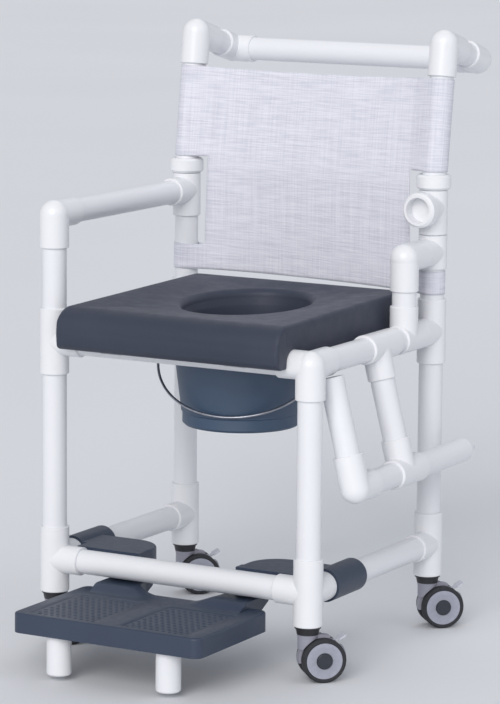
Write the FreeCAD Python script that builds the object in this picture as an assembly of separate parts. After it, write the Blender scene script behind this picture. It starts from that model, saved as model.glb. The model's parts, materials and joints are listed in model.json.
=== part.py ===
import FreeCAD, Part
import math
import os

# Shower commode chair built from plastic pipe. Millimetres, Z up, front of the chair towards -Y.
# The origin is on the floor, midway between the four legs. +X is the sitter's left, the drop arm side.

os.makedirs("parts", exist_ok=True)

# Main frame
LEG_SPAN_X = 500.0        # leg axis to leg axis across
LEG_SPAN_Y = 446.0        # leg axis to leg axis front to back
LOW_Z = 151.0             # axis height of the lower rails
RAIL_Z = 533.0            # axis height of the seat rails
ARM_RISE = 218.0          # arm axis above the seat rail axis
COLLAR_RISE = 45.0        # recline collar centre above the arm axis
UPPER_LEN = 240.0         # recline collar centre to the axis corner of the top elbow
RECLINE = 7.7             # lean of the upper back, degrees
HANDLE_LEN = 138.0        # top elbow to rear elbow, axis corner to axis corner
HANDLE_DROP = 15.0        # slope of the push handle sides, degrees

# Pipe and fittings
PIPE_R = 21.1             # outside radius of the pipe
PIPE_WALL = 3.6
GLUE_GAP = 0.05           # radial gap of a glued socket
HUB_WALL = 4.1            # fitting wall outside the socket
REACH = 57.0              # fitting centre to hub end
SOCKET_DEPTH = 29.0       # pipe depth inside a hub
SEAT_GAP = 0.4            # pipe end to the socket's floor
BRANCH_STEP = 0.6         # branch hubs and their bores are this much smaller in radius than the run
HUB_CHAMFER = 1.2
REAR_REACH = 46.0         # rear elbows are shorter than the others
REAR_DEPTH = 22.0         # and so are their sockets
ARM_TEE_UP = 31.0         # arm tees are trimmed above, under the collar
ARM_TEE_DOWN = 47.0
COLLAR_R = 30.5
COLLAR_H = 26.0
COLLAR_ROUND = 4.0
SOCKET_NECK = 46.0        # arm socket's branch, post axis to its end
SOCKET_MOUTH = 62.0       # arm socket's mouth from the post axis
SOCKET_FLOOR = 40.0       # arm socket's floor from the post axis

# Brace behind the drop arm
BRACE_RISE = 140.0        # brace axis above the seat rail axis
BRACE_SET = 108.0         # brace post ahead of the back leg
BRACE_TEE_HALF = 30.0     # trimmed run of the tee on the back post
BRACE_RAIL_FRONT = 26.0   # trimmed run of the tee on the seat rail, ahead of the brace post

# Drop arm
DROP_TILT = 14.5          # outward lean of the hanging arm, degrees
SLIP_SET = 106.0          # slip tee centre ahead of the brace post
SLIP_FRONT = 43.0         # trimmed run of the slip tee, ahead of its post
DROP_TEE_FRONT = 38.0     # trimmed run of the lower tee, ahead of its post
SLIP_FIT = 0.05           # running gap of the slip tee on the rail
DROP_FRONT_SET = 60.0     # front post behind the front leg
DROP_POST_END = 28.0      # front post's cut end from the rail axis
DROP_TAIL = 233.0         # arm tube end behind the slip tee centre
PLUG_LEN = 42.0           # end plug, from the tube's end to the tip of its pin
PLUG_CONE = 12.0          # its tapered shoulder
PLUG_NOSE_R = 6.0
PLUG_DEPTH = 20.0
SOCKET_FIT = 1.2         # radial room in the open arm socket

# Seat
SEAT_SIDE_GAP = 5.75      # seat's front width to the hubs at each side
SEAT_TAPER = 4.0          # half width lost from front to rear
SEAT_FRONT_SET = 57.0     # nose of the seat ahead of the front leg axis
SEAT_REAR_SET = 27.0      # rear edge of the seat ahead of the back leg axis
SEAT_THICK = 63.0         # skirt bottom to seat top
PAD_THICK = 37.0          # padding above the board
SEAT_CORNER_R = 14.0
SEAT_ROLL = 12.0          # rounding of the upper edge
HOLE_ROLL = 20.0          # depth of the rounding into the hole
SEAT_NOSE_R = 38.0        # rounding of the waterfall front
SEAT_LIP_DROP = 14.0      # the front lip hangs this much lower than the skirt
SEAT_LIP_GAP = 0.5        # front lip to the saddles
HUB_ROOM = 0.6            # seat skirt to the hubs of the front rail
SEAT_SKIRT = 14.0         # skirt wall thickness
HOLE_HALF_X = 105.0
HOLE_HALF_Y = 130.0
HOLE_SET = 227.0          # seat hole centre behind the front leg
HOLE_FLARE = 14.0         # widening of the hole at the seat top
BOARD_THICK = 9.0
BOARD_GAP = 1.5           # board edge to the skirt
SADDLE_WALL = 4.0
SADDLE_LEN = 40.0
SADDLE_SET = 120.0        # saddles each side of the middle
SADDLE_LEG = 10.0         # straight legs of the saddles below the rail axis
SADDLE_FIT = 0.3
CLIP_T = 7.0              # rear clips, tongue and riser thickness
CLIP_GAP = 0.9            # clip tongue below the skirt

# Pail and its slides
PAIL_SET = 212.0          # pail axis behind the front leg
PAIL_RIM_R = 144.0
PAIL_TOP_R = 117.0
PAIL_BOTTOM_R = 105.0
PAIL_RIM_Z = 501.0        # underside of the rim
PAIL_DEPTH = 121.0
PAIL_WALL = 2.6
PAIL_RIM_T = 4.0
PAIL_BAND_H = 22.0        # step near the bottom
PAIL_BAND_STEP = 2.0
SLIDE_WALL = 4.0
SLIDE_ROOM = 2.0          # pail rim to the slide's web
SLIDE_LEDGE = 14.5
SLIDE_FLANGE = 14.0
SLIDE_FRONT = 105.0       # slide's front end behind the front leg
SLIDE_REAR_GAP = 4.0      # slide's rear end to the rear rail
SLIDE_SLOPE = 25.0        # cut back of the slide's front end
SLIDE_REST = 0.3          # pail rim above the ledge
BAIL_TURN = 15.0          # the pail stands turned this much, so the bail faces front left
BAIL_WIRE_R = 2.4
BAIL_EAR_R = 130.0        # ear middle from the pail axis
BAIL_EAR_T = 5.0
BAIL_EAR_DROP = 9.0       # ear hole below the rim
BAIL_EAR_SIZE = 7.0
BAIL_FIT = 0.1
BAIL_LOOP_R = 150.0
BAIL_REACH = 138.0        # pivots to the far side of the loop
BAIL_CORNER_R = 8.0
BAIL_SLOPE = 37.0         # the bail rests this far below level, degrees

# Footrest
PLATE_HALF = 181.0
PLATE_FRONT = 243.0       # plate front edge ahead of the front leg
PLATE_REAR = 9.0          # plate rear edge ahead of the front leg
PLATE_TOP = 113.0
PLATE_THICK = 34.0
PLATE_WALL = 4.0
PLATE_CORNER = 16.0
PLATE_ROUND = 4.0
TREAD_INSET = 12.0        # raised rim around the foot areas
TREAD_DEPTH = 0.6
TREAD_BAND = 38.0         # smooth band between the foot areas
PLATE_RIB = 3.0
FOOT_R = 21.1
FOOT_SET_X = 106.0
FOOT_SET_Y = 212.0        # feet ahead of the front leg
FOOT_EDGE = 2.5
FOOT_CLEAR = 10.0         # feet above the floor
FOOT_SOCKET = 22.0        # depth of the feet inside the plate
NECK_IN = 80.0            # arms under the front rail, inner and outer edge from the middle
NECK_OUT = 148.0
NECK_CLEAR = 5.0          # arm top to the front rail
NOTCH_ROUND = 28.0         # inner corners between the plate and its arms
RAMP_RUN = 14.0            # slope from the plate's top up to the arms
NECK_THICK = 22.0
WING_IN = 96.0             # wing's inner end from the middle
WING_GAP = 5.0            # wing to the front rail and to the corner's hub
WING_REAR = 128.0         # wing's rear edge behind the front leg
WING_UP = 20.0            # wing top above the lower rail axis
WING_THICK = 24.0
WING_ROUND = 58.0
WING_EDGE = 4.0
SLEEVE_WALL = 7.0
SLEEVE_FIT = 0.3
SLEEVE_LEN = 100.0
SLEEVE_GAP = 1.0          # sleeve front to the corner's hub

# Back sling
SLING_T = 2.0
SLING_FIT = 0.2
SLING_TOP_GAP = 4.0       # sleeve top to the elbow's hub
SLING_BASE = 69.0         # lower edge above the seat rail axis
STRAP_H = 40.0
CUT_DEEP = 46.0           # arm cut-outs, inner edge from the post axis, above and below
CUT_LOW = 41.0

# Casters
WHEEL_R = 37.5
WHEEL_W = 17.0
WHEEL_SPLIT = 17.0        # wheel middle from the caster's middle
TREAD_ROUND = 3.0
DISC_R = 31.0
DISC_SINK = 1.5
CAP_R = 13.0
CAP_H = 2.0
AXLE_R = 4.0
AXLE_FIT = 0.05
TRAIL = 24.0              # axle behind the swivel axis
TRAIL_TURN = 42.0         # trail direction from +X towards +Y, degrees
WEB_R = 33.0              # web round the axle
HOOD_R = 41.0             # hood between and above the wheels
HOOD_LOW = 6.0            # hood's lower end under the axle
HOOD_SIDE_GAP = 0.8
HOOD_TOP = 80.0           # top of the hood's neck
NECK_R = 17.0
STEM_R = 6.0
STEM_UP = 34.0            # stem length inside its socket
STEM_FIT = 0.05
INSERT_FLANGE_R = 22.5
INSERT_FLANGE_T = 3.0
INSERT_UP = 40.0
SWIVEL_GAP = 0.5
PEDAL_W = 22.0
PEDAL_T = 3.0
PEDAL_REACH = 25.0        # pedal beyond its pin
PEDAL_PIN_R = 2.5
PEDAL_PIN_BACK = 19.0     # pedal pin behind the axle
PEDAL_PIN_UP = 27.0       # pedal pin above the axle
PEDAL_LEAN = 32.0         # slope of the pedal, degrees

# Derived values
HUB_R = PIPE_R + GLUE_GAP + HUB_WALL
BRANCH_R = HUB_R - BRANCH_STEP
SOCKET_R = PIPE_R + GLUE_GAP
BORE_R = PIPE_R - PIPE_WALL
XL = LEG_SPAN_X / 2.0
YF = -LEG_SPAN_Y / 2.0
YB = LEG_SPAN_Y / 2.0
ARM_Z = RAIL_Z + ARM_RISE
COLLAR_Z = ARM_Z + COLLAR_RISE
BRACE_Z = RAIL_Z + BRACE_RISE
BRACE_Y = YB - BRACE_SET
SLIP_Y = BRACE_Y - SLIP_SET
SEAT_FRONT_HALF = XL - HUB_R - SEAT_SIDE_GAP
SEAT_REAR_HALF = SEAT_FRONT_HALF - SEAT_TAPER
LEG_FOOT_Z = LOW_Z - REACH
PIPE_IN = REACH - SOCKET_DEPTH + SEAT_GAP


def vec(x, y, z):
    return FreeCAD.Vector(x, y, z)


UP = vec(0, 0, 1)
DOWN = vec(0, 0, -1)
BACK = vec(0, 1, 0)
AHEAD = vec(0, -1, 0)
LEAN = math.radians(RECLINE)
POST_DIR = vec(0, math.sin(LEAN), math.cos(LEAN))
DROP = math.radians(HANDLE_DROP)
HANDLE_DIR = vec(0, math.cos(DROP), -math.sin(DROP))


# Basic solids
def rod(start, end, radius):
    return Part.makeCylinder(radius, (end - start).Length, start, end - start)


def tube(start, end, outer, inner):
    return rod(start, end, outer).cut(rod(start, end, inner))


def pipe(start, end):
    return tube(start, end, PIPE_R, BORE_R)


def box(x0, x1, y0, y1, z0, z1):
    return Part.makeBox(x1 - x0, y1 - y0, z1 - z0, vec(x0, y0, z0))


def ring_solid(points, base, axis):
    """Revolve a closed outline of (radius, height) points about an axis through base."""
    wire = Part.makePolygon([vec(r, 0, h) for r, h in points + points[:1]])
    solid = Part.Face(wire).revolve(vec(0, 0, 0), UP, 360)
    solid.Placement = FreeCAD.Placement(base, FreeCAD.Rotation(UP, axis))
    return solid


def hub(centre, direction, reach, radius):
    """Plain hub from a fitting's centre to its chamfered end."""
    low = radius - HUB_CHAMFER
    points = [(0, 0), (radius, 0), (radius, reach - HUB_CHAMFER), (low, reach), (0, reach)]
    return ring_solid(points, centre, direction)


def socket(centre, direction, reach, depth=SOCKET_DEPTH):
    """Socket cut for one hub, open at the hub's end."""
    return rod(centre + direction * (reach - depth), centre + direction * (reach + 1), SOCKET_R)


def barrel(centre, direction, ahead, behind):
    """Straight run of a fitting, chamfered at both ends."""
    low = HUB_R - HUB_CHAMFER
    points = [(0, -behind), (low, -behind), (HUB_R, HUB_CHAMFER - behind), (HUB_R, ahead - HUB_CHAMFER),
              (low, ahead), (0, ahead)]
    return ring_solid(points, centre, direction)


def fitting(centre, run, branches, through=False, dome=False, depth=SOCKET_DEPTH):
    """Moulded fitting. run and branches are lists of (direction, reach).

    A run has one end or two opposite ends. A through fitting slides over an unbroken pipe along its run.
    """
    first, reach = run[0]
    if len(run) == 2:
        behind = run[1][1]
        body = barrel(centre, first, reach, behind)
        start = centre - first * (behind + 1)
    else:
        body = hub(centre, first, reach, HUB_R)
        start = centre
    for direction, length in branches:
        body = body.fuse(hub(centre, direction, length, BRANCH_R))
    if dome:
        body = body.fuse(Part.makeSphere(HUB_R, centre))
    body = body.cut(rod(start, centre + first * (reach + 1), SOCKET_R if through else BORE_R))
    if not through:
        for direction, length in run:
            body = body.cut(socket(centre, direction, length, depth))
    for direction, length in branches:
        body = body.cut(rod(centre, centre + direction * length, BORE_R - BRANCH_STEP))
        body = body.cut(socket(centre, direction, length, depth))
    return body.removeSplitter()


def elbow(centre, first, second, reach=REACH, depth=SOCKET_DEPTH):
    """Tight elbow with a domed corner and a socket at both ends."""
    return fitting(centre, [(first, reach)], [(second, reach)], dome=True, depth=depth)


def joined(centre_a, centre_b):
    """Pipe seated in the sockets of two full-reach fittings."""
    along = centre_b - centre_a
    along.normalize()
    return pipe(centre_a + along * PIPE_IN, centre_b - along * PIPE_IN)


def write(name, *solids):
    shape = solids[0] if len(solids) == 1 else Part.makeCompound(list(solids))
    shape.exportStep("parts/" + name + ".step")


# Lower frame: legs, lower rails and their fittings
def lower_frame():
    for name, x in (("right", -XL), ("left", XL)):
        inward = vec(-math.copysign(1, x), 0, 0)
        centre = vec(x, YF, LOW_Z)
        corner = fitting(centre, [(UP, REACH), (DOWN, REACH)], [(inward, REACH), (BACK, REACH)])
        write("lower_corner_front_" + name, corner)
    tees = []
    sides = []
    legs = []
    for x in (-XL, XL):
        tees.append(fitting(vec(x, YB, LOW_Z), [(UP, REACH), (DOWN, REACH)], [(AHEAD, REACH)]))
        sides.append(joined(vec(x, YF, LOW_Z), vec(x, YB, LOW_Z)))
        for y in (YF, YB):
            legs.append(joined(vec(x, y, LOW_Z), vec(x, y, RAIL_Z)))
    write("lower_tees_back", *tees)
    write("lower_rails_side", *sides)
    write("leg_tubes", *legs)
    write("lower_rail_front", joined(vec(-XL, YF, LOW_Z), vec(XL, YF, LOW_Z)))


# Seat level: four corners and four rails
def seat_frame():
    right = vec(-XL, YF, RAIL_Z)
    left = vec(XL, YF, RAIL_Z)
    cross = fitting(right, [(UP, REACH), (DOWN, REACH)], [(vec(1, 0, 0), REACH), (BACK, REACH)])
    write("seat_cross_front_right", cross)
    corner = fitting(left, [(DOWN, REACH)], [(vec(-1, 0, 0), REACH), (BACK, REACH)], dome=True)
    write("seat_corner_front_left", corner)
    tees = []
    for x in (-XL, XL):
        inward = vec(-math.copysign(1, x), 0, 0)
        centre = vec(x, YB, RAIL_Z)
        tees.append(fitting(centre, [(UP, REACH), (DOWN, REACH)], [(AHEAD, REACH), (inward, REACH)]))
    write("seat_tees_back", *tees)
    rear = BACK * LEG_SPAN_Y
    write("seat_rails_cross", joined(right, left), joined(right + rear, left + rear))
    write("seat_rails_side", joined(right, right + rear), joined(left, left + rear))


# Fixed arm on the sitter's right
def fixed_arm():
    corner = vec(-XL, YF, ARM_Z)
    back = vec(-XL, YB, ARM_Z)
    write("arm_post", joined(vec(-XL, YF, RAIL_Z), corner))
    write("arm_elbow", elbow(corner, DOWN, BACK))
    tee = fitting(back, [(UP, ARM_TEE_UP), (DOWN, ARM_TEE_DOWN)], [(AHEAD, REACH)], through=True)
    write("arm_tee", tee)
    write("arm_tube", joined(corner, back))


# Back posts, recline collars and push handle
def collar_outline():
    r = COLLAR_ROUND
    return [(0, 0), (COLLAR_R - r, 0), (COLLAR_R, r), (COLLAR_R, COLLAR_H - r), (COLLAR_R - r, COLLAR_H),
            (0, COLLAR_H)]


def collar(x):
    base = vec(x, YB, COLLAR_Z - COLLAR_H / 2.0)
    middle = vec(x, YB, COLLAR_Z)
    body = ring_solid(collar_outline(), base, UP)
    body = body.cut(rod(middle, middle - UP * COLLAR_H, SOCKET_R))
    return body.cut(rod(middle, middle + POST_DIR * COLLAR_H, SOCKET_R))


def back_frame():
    collars = []
    uppers = []
    tops = []
    sides = []
    rears = []
    post_gap = PIPE_R * math.sin(LEAN) / 2.0 + SEAT_GAP
    for name, x in (("right", -XL), ("left", XL)):
        middle = vec(x, YB, COLLAR_Z)
        foot = vec(x, YB, RAIL_Z + PIPE_IN)
        write("back_post_" + name, pipe(foot, middle - UP * post_gap))
        top = middle + POST_DIR * UPPER_LEN
        rear = top + HANDLE_DIR * HANDLE_LEN
        inward = vec(-math.copysign(1, x), 0, 0)
        collars.append(collar(x))
        uppers.append(pipe(middle + POST_DIR * post_gap, top - POST_DIR * PIPE_IN))
        tops.append(elbow(top, POST_DIR * -1, HANDLE_DIR))
        rear_in = REAR_REACH - REAR_DEPTH + SEAT_GAP
        sides.append(pipe(top + HANDLE_DIR * PIPE_IN, rear - HANDLE_DIR * rear_in))
        rears.append(elbow(rear, HANDLE_DIR * -1, inward, REAR_REACH, REAR_DEPTH))
    write("recline_collars", *collars)
    write("upper_posts", *uppers)
    write("top_elbows", *tops)
    write("handle_tubes", *sides)
    write("rear_elbows", *rears)
    rear = vec(0, YB, COLLAR_Z) + POST_DIR * UPPER_LEN + HANDLE_DIR * HANDLE_LEN
    bar_half = vec(XL - rear_in, 0, 0)
    write("push_bar", pipe(rear - bar_half, rear + bar_half))


# Brace and open arm socket on the sitter's left
def brace():
    post = vec(XL, YB, BRACE_Z)
    corner = vec(XL, BRACE_Y, BRACE_Z)
    foot = vec(XL, BRACE_Y, RAIL_Z)
    branch = BRACE_SET - REACH
    half = [(UP, BRACE_TEE_HALF), (DOWN, BRACE_TEE_HALF)]
    write("brace_tee", fitting(post, half, [(AHEAD, branch)], through=True))
    write("brace_elbow", elbow(corner, BACK, DOWN))
    run = [(AHEAD, BRACE_RAIL_FRONT), (BACK, BRACE_SET - REACH)]
    write("brace_rail_tee", fitting(foot, run, [(UP, REACH)], through=True))
    write("brace_tube", joined(corner, foot))


def arm_socket():
    centre = vec(XL, YB, ARM_Z)
    mouth = centre + AHEAD * SOCKET_MOUTH
    bore = PIPE_R + SOCKET_FIT
    body = barrel(centre, UP, ARM_TEE_UP, ARM_TEE_DOWN).fuse(hub(centre, AHEAD, SOCKET_NECK, BRANCH_R))
    body = body.cut(rod(centre + UP * (ARM_TEE_UP + 1), centre - UP * (ARM_TEE_DOWN + 1), SOCKET_R))
    body = body.cut(rod(centre + AHEAD * SOCKET_FLOOR, mouth, bore))
    write("arm_socket_tee", body.removeSplitter())
    ring = ring_solid(collar_outline(), mouth, BACK)
    ring = ring.cut(rod(mouth + AHEAD, mouth + BACK * COLLAR_H, bore))
    seat_end = centre + AHEAD * (SOCKET_NECK + SEAT_GAP)
    write("arm_socket_collar", ring.cut(rod(seat_end, seat_end + BACK * COLLAR_H, BRANCH_R + GLUE_GAP)))


# Drop arm on the sitter's left, drawn hanging straight down and then leaned outward
def lean_out(shape):
    turned = shape.copy()
    turned.rotate(vec(XL, 0, RAIL_Z), BACK, -DROP_TILT)
    return turned


def drop_arm():
    slip = vec(XL, SLIP_Y, RAIL_Z)
    tee = slip + DOWN * ARM_RISE
    corner = vec(XL, YF + DROP_FRONT_SET, RAIL_Z - ARM_RISE)
    tail = tee + BACK * DROP_TAIL
    slip_tee = barrel(slip, BACK, REACH, SLIP_FRONT).fuse(hub(slip, DOWN, REACH, BRANCH_R))
    slip_tee = slip_tee.cut(rod(slip - BACK * (REACH + 1), slip + BACK * (REACH + 1), PIPE_R + SLIP_FIT))
    slip_tee = slip_tee.cut(socket(slip, DOWN, REACH)).cut(rod(slip, slip + DOWN * REACH, BORE_R))
    write("drop_slip_tee", lean_out(slip_tee.removeSplitter()))
    run = [(BACK, REACH), (AHEAD, DROP_TEE_FRONT)]
    write("drop_arm_tee", lean_out(fitting(tee, run, [(UP, REACH)], through=True)))
    write("drop_post_middle", lean_out(joined(slip, tee)))
    write("drop_arm_elbow", lean_out(elbow(corner, UP, BACK)))
    write("drop_arm_tube", lean_out(pipe(corner + BACK * PIPE_IN, tail)))
    post_top = vec(XL, YF + DROP_FRONT_SET, RAIL_Z - DROP_POST_END)
    write("drop_post_front", lean_out(pipe(corner + UP * PIPE_IN, post_top)))
    inner = BORE_R - GLUE_GAP
    step = PIPE_R - 1.0
    points = [(0, -PLUG_DEPTH), (inner, -PLUG_DEPTH), (inner, 0.0), (step, 0.0), (step, 3.0),
              (PLUG_NOSE_R + 2.0, PLUG_CONE - 2.0), (PLUG_NOSE_R, PLUG_CONE), (PLUG_NOSE_R, PLUG_LEN - 1.5),
              (PLUG_NOSE_R - 1.5, PLUG_LEN), (0, PLUG_LEN)]
    write("drop_arm_plug", lean_out(ring_solid(points, tail, BACK)))


# Padded seat with its board and saddles
def plan_outline(front_half, rear_half, y_front, y_rear, corner, z):
    """Tapered outline with four rounded corners, as a face at height z."""
    pts = [vec(-front_half, y_front, z), vec(front_half, y_front, z), vec(rear_half, y_rear, z),
           vec(-rear_half, y_rear, z)]
    slab = Part.Face(Part.makePolygon(pts + pts[:1])).extrude(vec(0, 0, 1))
    upright = [e for e in slab.Edges if abs(e.Vertexes[0].Z - e.Vertexes[1].Z) > 0.5]
    rounded = slab.makeFillet(corner, upright)
    flat = [f for f in rounded.Faces if abs(f.normalAt(0, 0).z) > 0.99 and abs(f.CenterOfMass.z - z) < 0.01]
    return flat[0]


def oval(half_x, half_y, centre):
    """Closed elliptical wire in a level plane."""
    if half_y >= half_x:
        curve = Part.Ellipse(centre + vec(0, half_y, 0), centre + vec(-half_x, 0, 0), centre)
    else:
        curve = Part.Ellipse(centre + vec(half_x, 0, 0), centre + vec(0, half_y, 0), centre)
    return Part.Wire(curve.toShape())


def seat_heights():
    rest = RAIL_Z + PIPE_R + SADDLE_FIT + SADDLE_WALL
    top = rest + BOARD_THICK + PAD_THICK
    return rest, top, top - SEAT_THICK


def seat():
    rest, top, skirt = seat_heights()
    y_front = YF - SEAT_FRONT_SET
    y_rear = YB - SEAT_REAR_SET
    lip = skirt - SEAT_LIP_DROP
    taper = (SEAT_FRONT_HALF - SEAT_REAR_HALF) / (y_rear - y_front)
    outline = plan_outline(SEAT_FRONT_HALF, SEAT_REAR_HALF, y_front, y_rear, SEAT_CORNER_R, lip)
    block = outline.extrude(vec(0, 0, top - lip))
    crown = [e for e in block.Edges if all(abs(p.Z - top) < 0.01 for p in e.Vertexes)]
    block = block.makeFillet(SEAT_ROLL, crown)
    # the nose and the drop of the lip come from the side profile
    nose = vec(y_front + SEAT_NOSE_R, 0, top - SEAT_NOSE_R)
    lip_back = YF - PIPE_R - SADDLE_FIT - SADDLE_WALL - SEAT_LIP_GAP
    wide = SEAT_FRONT_HALF + 1.0
    arc = Part.Arc(vec(-wide, y_front, nose.z),
                   vec(-wide, nose.x - SEAT_NOSE_R * math.sqrt(0.5), nose.z + SEAT_NOSE_R * math.sqrt(0.5)),
                   vec(-wide, nose.x, top))
    corners = [vec(-wide, nose.x, top), vec(-wide, y_rear + 1, top), vec(-wide, y_rear + 1, skirt),
               vec(-wide, lip_back, skirt), vec(-wide, lip_back, lip), vec(-wide, y_front, lip),
               vec(-wide, y_front, nose.z)]
    edges = [arc.toShape()]
    for a, b in zip(corners[:-1], corners[1:]):
        edges.append(Part.makeLine(a, b))
    side = Part.Face(Part.Wire(edges)).extrude(vec(2 * wide, 0, 0))
    body = block.common(side)
    # pocket under the seat for the board, the rails and the slides
    pocket_front = lip_back + 0.01
    front_half = SEAT_FRONT_HALF - taper * (pocket_front - y_front) - SEAT_SKIRT
    rear_half = SEAT_REAR_HALF + taper * SEAT_SKIRT - SEAT_SKIRT
    pts = [vec(-front_half, pocket_front, skirt - 1), vec(front_half, pocket_front, skirt - 1),
           vec(rear_half, y_rear - SEAT_SKIRT, skirt - 1), vec(-rear_half, y_rear - SEAT_SKIRT, skirt - 1)]
    pocket = Part.Face(Part.makePolygon(pts + pts[:1])).extrude(vec(0, 0, rest + BOARD_THICK - skirt + 1))
    body = body.cut(pocket)
    # room in the skirt for the hubs at both ends of the front rail
    room = HUB_R + HUB_ROOM
    body = body.cut(rod(vec(-XL, YF, RAIL_Z), vec(XL, YF, RAIL_Z), room))
    body = body.cut(box(-XL, XL, lip_back, YF + room, lip - 1, RAIL_Z))
    middle_y = YF + HOLE_SET
    under = oval(HOLE_HALF_X, HOLE_HALF_Y, vec(0, middle_y, rest))
    mouth_low = oval(HOLE_HALF_X, HOLE_HALF_Y, vec(0, middle_y, top - HOLE_ROLL))
    mouth = oval(HOLE_HALF_X + HOLE_FLARE, HOLE_HALF_Y + HOLE_FLARE, vec(0, middle_y, top))
    well = Part.Face(under).extrude(vec(0, 0, top - rest + 1))
    body = body.cut(well).cut(Part.makeLoft([mouth_low, mouth], True, True))
    write("seat_cushion", body)
    # moulded board that carries the padding
    gap = SEAT_SKIRT + BOARD_GAP
    y_start = pocket_front + BOARD_GAP
    start_half = SEAT_FRONT_HALF - taper * (y_start - y_front) - gap
    end_half = SEAT_REAR_HALF + taper * gap - gap
    board = plan_outline(start_half, end_half, y_start, y_rear - gap, SEAT_CORNER_R - gap + 8.0, rest)
    board = board.extrude(vec(0, 0, BOARD_THICK)).cut(well)
    write("seat_board", board)
    saddles = []
    clips = []
    for x in (-SADDLE_SET, SADDLE_SET):
        saddles.append(saddle(x, YF))
        # the rear clips reach under the skirt to the rear rail
        wall_back = y_rear - SEAT_SKIRT - BOARD_GAP
        x0 = x - SADDLE_LEN / 2.0
        x1 = x + SADDLE_LEN / 2.0
        tongue_top = skirt - CLIP_GAP
        tongue = box(x0, x1, wall_back - CLIP_T, YB - PIPE_R, tongue_top - CLIP_T, tongue_top)
        riser = box(x0, x1, wall_back - CLIP_T, wall_back, tongue_top - CLIP_T, rest)
        arm = tongue.fuse(riser).cut(rod(vec(x0, YB, RAIL_Z), vec(x1, YB, RAIL_Z), PIPE_R + SADDLE_FIT))
        clips.append(saddle(x, YB).fuse(arm).removeSplitter())
    write("seat_saddles", *saddles)
    write("seat_clips_rear", *clips)


def saddle(x, y):
    """Open-bottomed clip over a cross rail whose axis is at y."""
    inner = PIPE_R + SADDLE_FIT
    outer = inner + SADDLE_WALL
    near = vec(x - SADDLE_LEN / 2.0, y, RAIL_Z)
    far = vec(x + SADDLE_LEN / 2.0, y, RAIL_Z)
    shell = rod(near, far, outer)
    legs = box(near.x, far.x, y - outer, y + outer, RAIL_Z - SADDLE_LEG, RAIL_Z)
    shell = shell.cut(box(near.x - 1, far.x + 1, y - outer, y + outer, RAIL_Z - outer - 1, RAIL_Z))
    shell = shell.fuse(legs)
    slot = rod(near - vec(1, 0, 0), far + vec(1, 0, 0), inner)
    slot = slot.fuse(box(near.x - 1, far.x + 1, y - inner, y + inner, RAIL_Z - outer - 1, RAIL_Z))
    return shell.cut(slot).removeSplitter()


# Pail, bail and the pair of slides that carry the pail under the seat
def pail_slides():
    rest, top, skirt = seat_heights()
    ledge_top = PAIL_RIM_Z - SLIDE_REST
    low = ledge_top - SLIDE_WALL
    web_in = PAIL_RIM_R + SLIDE_ROOM
    web_out = web_in + SLIDE_WALL
    front = YF + SLIDE_FRONT
    rear = YB - PIPE_R - SLIDE_REAR_GAP
    board_end = YB - SEAT_REAR_SET - SEAT_SKIRT - BOARD_GAP
    under = skirt - CLIP_GAP
    points = [vec(web_in, front, rest), vec(web_in, board_end, rest), vec(web_in, board_end, under),
              vec(web_in, rear, under), vec(web_in, rear, low), vec(web_in, front + SLIDE_SLOPE, low),
              vec(web_in, front, low + SLIDE_SLOPE)]
    web = Part.Face(Part.makePolygon(points + points[:1])).extrude(vec(SLIDE_WALL, 0, 0))
    ledge = box(web_in - SLIDE_LEDGE, web_out, front + SLIDE_SLOPE, rear, low, ledge_top)
    flange = box(web_in, web_out + SLIDE_FLANGE, front, board_end, rest - SLIDE_WALL, rest)
    shape = web.fuse(ledge).fuse(flange).removeSplitter()
    write("pail_slides", shape, shape.mirror(vec(0, 0, 0), vec(1, 0, 0)))


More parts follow.
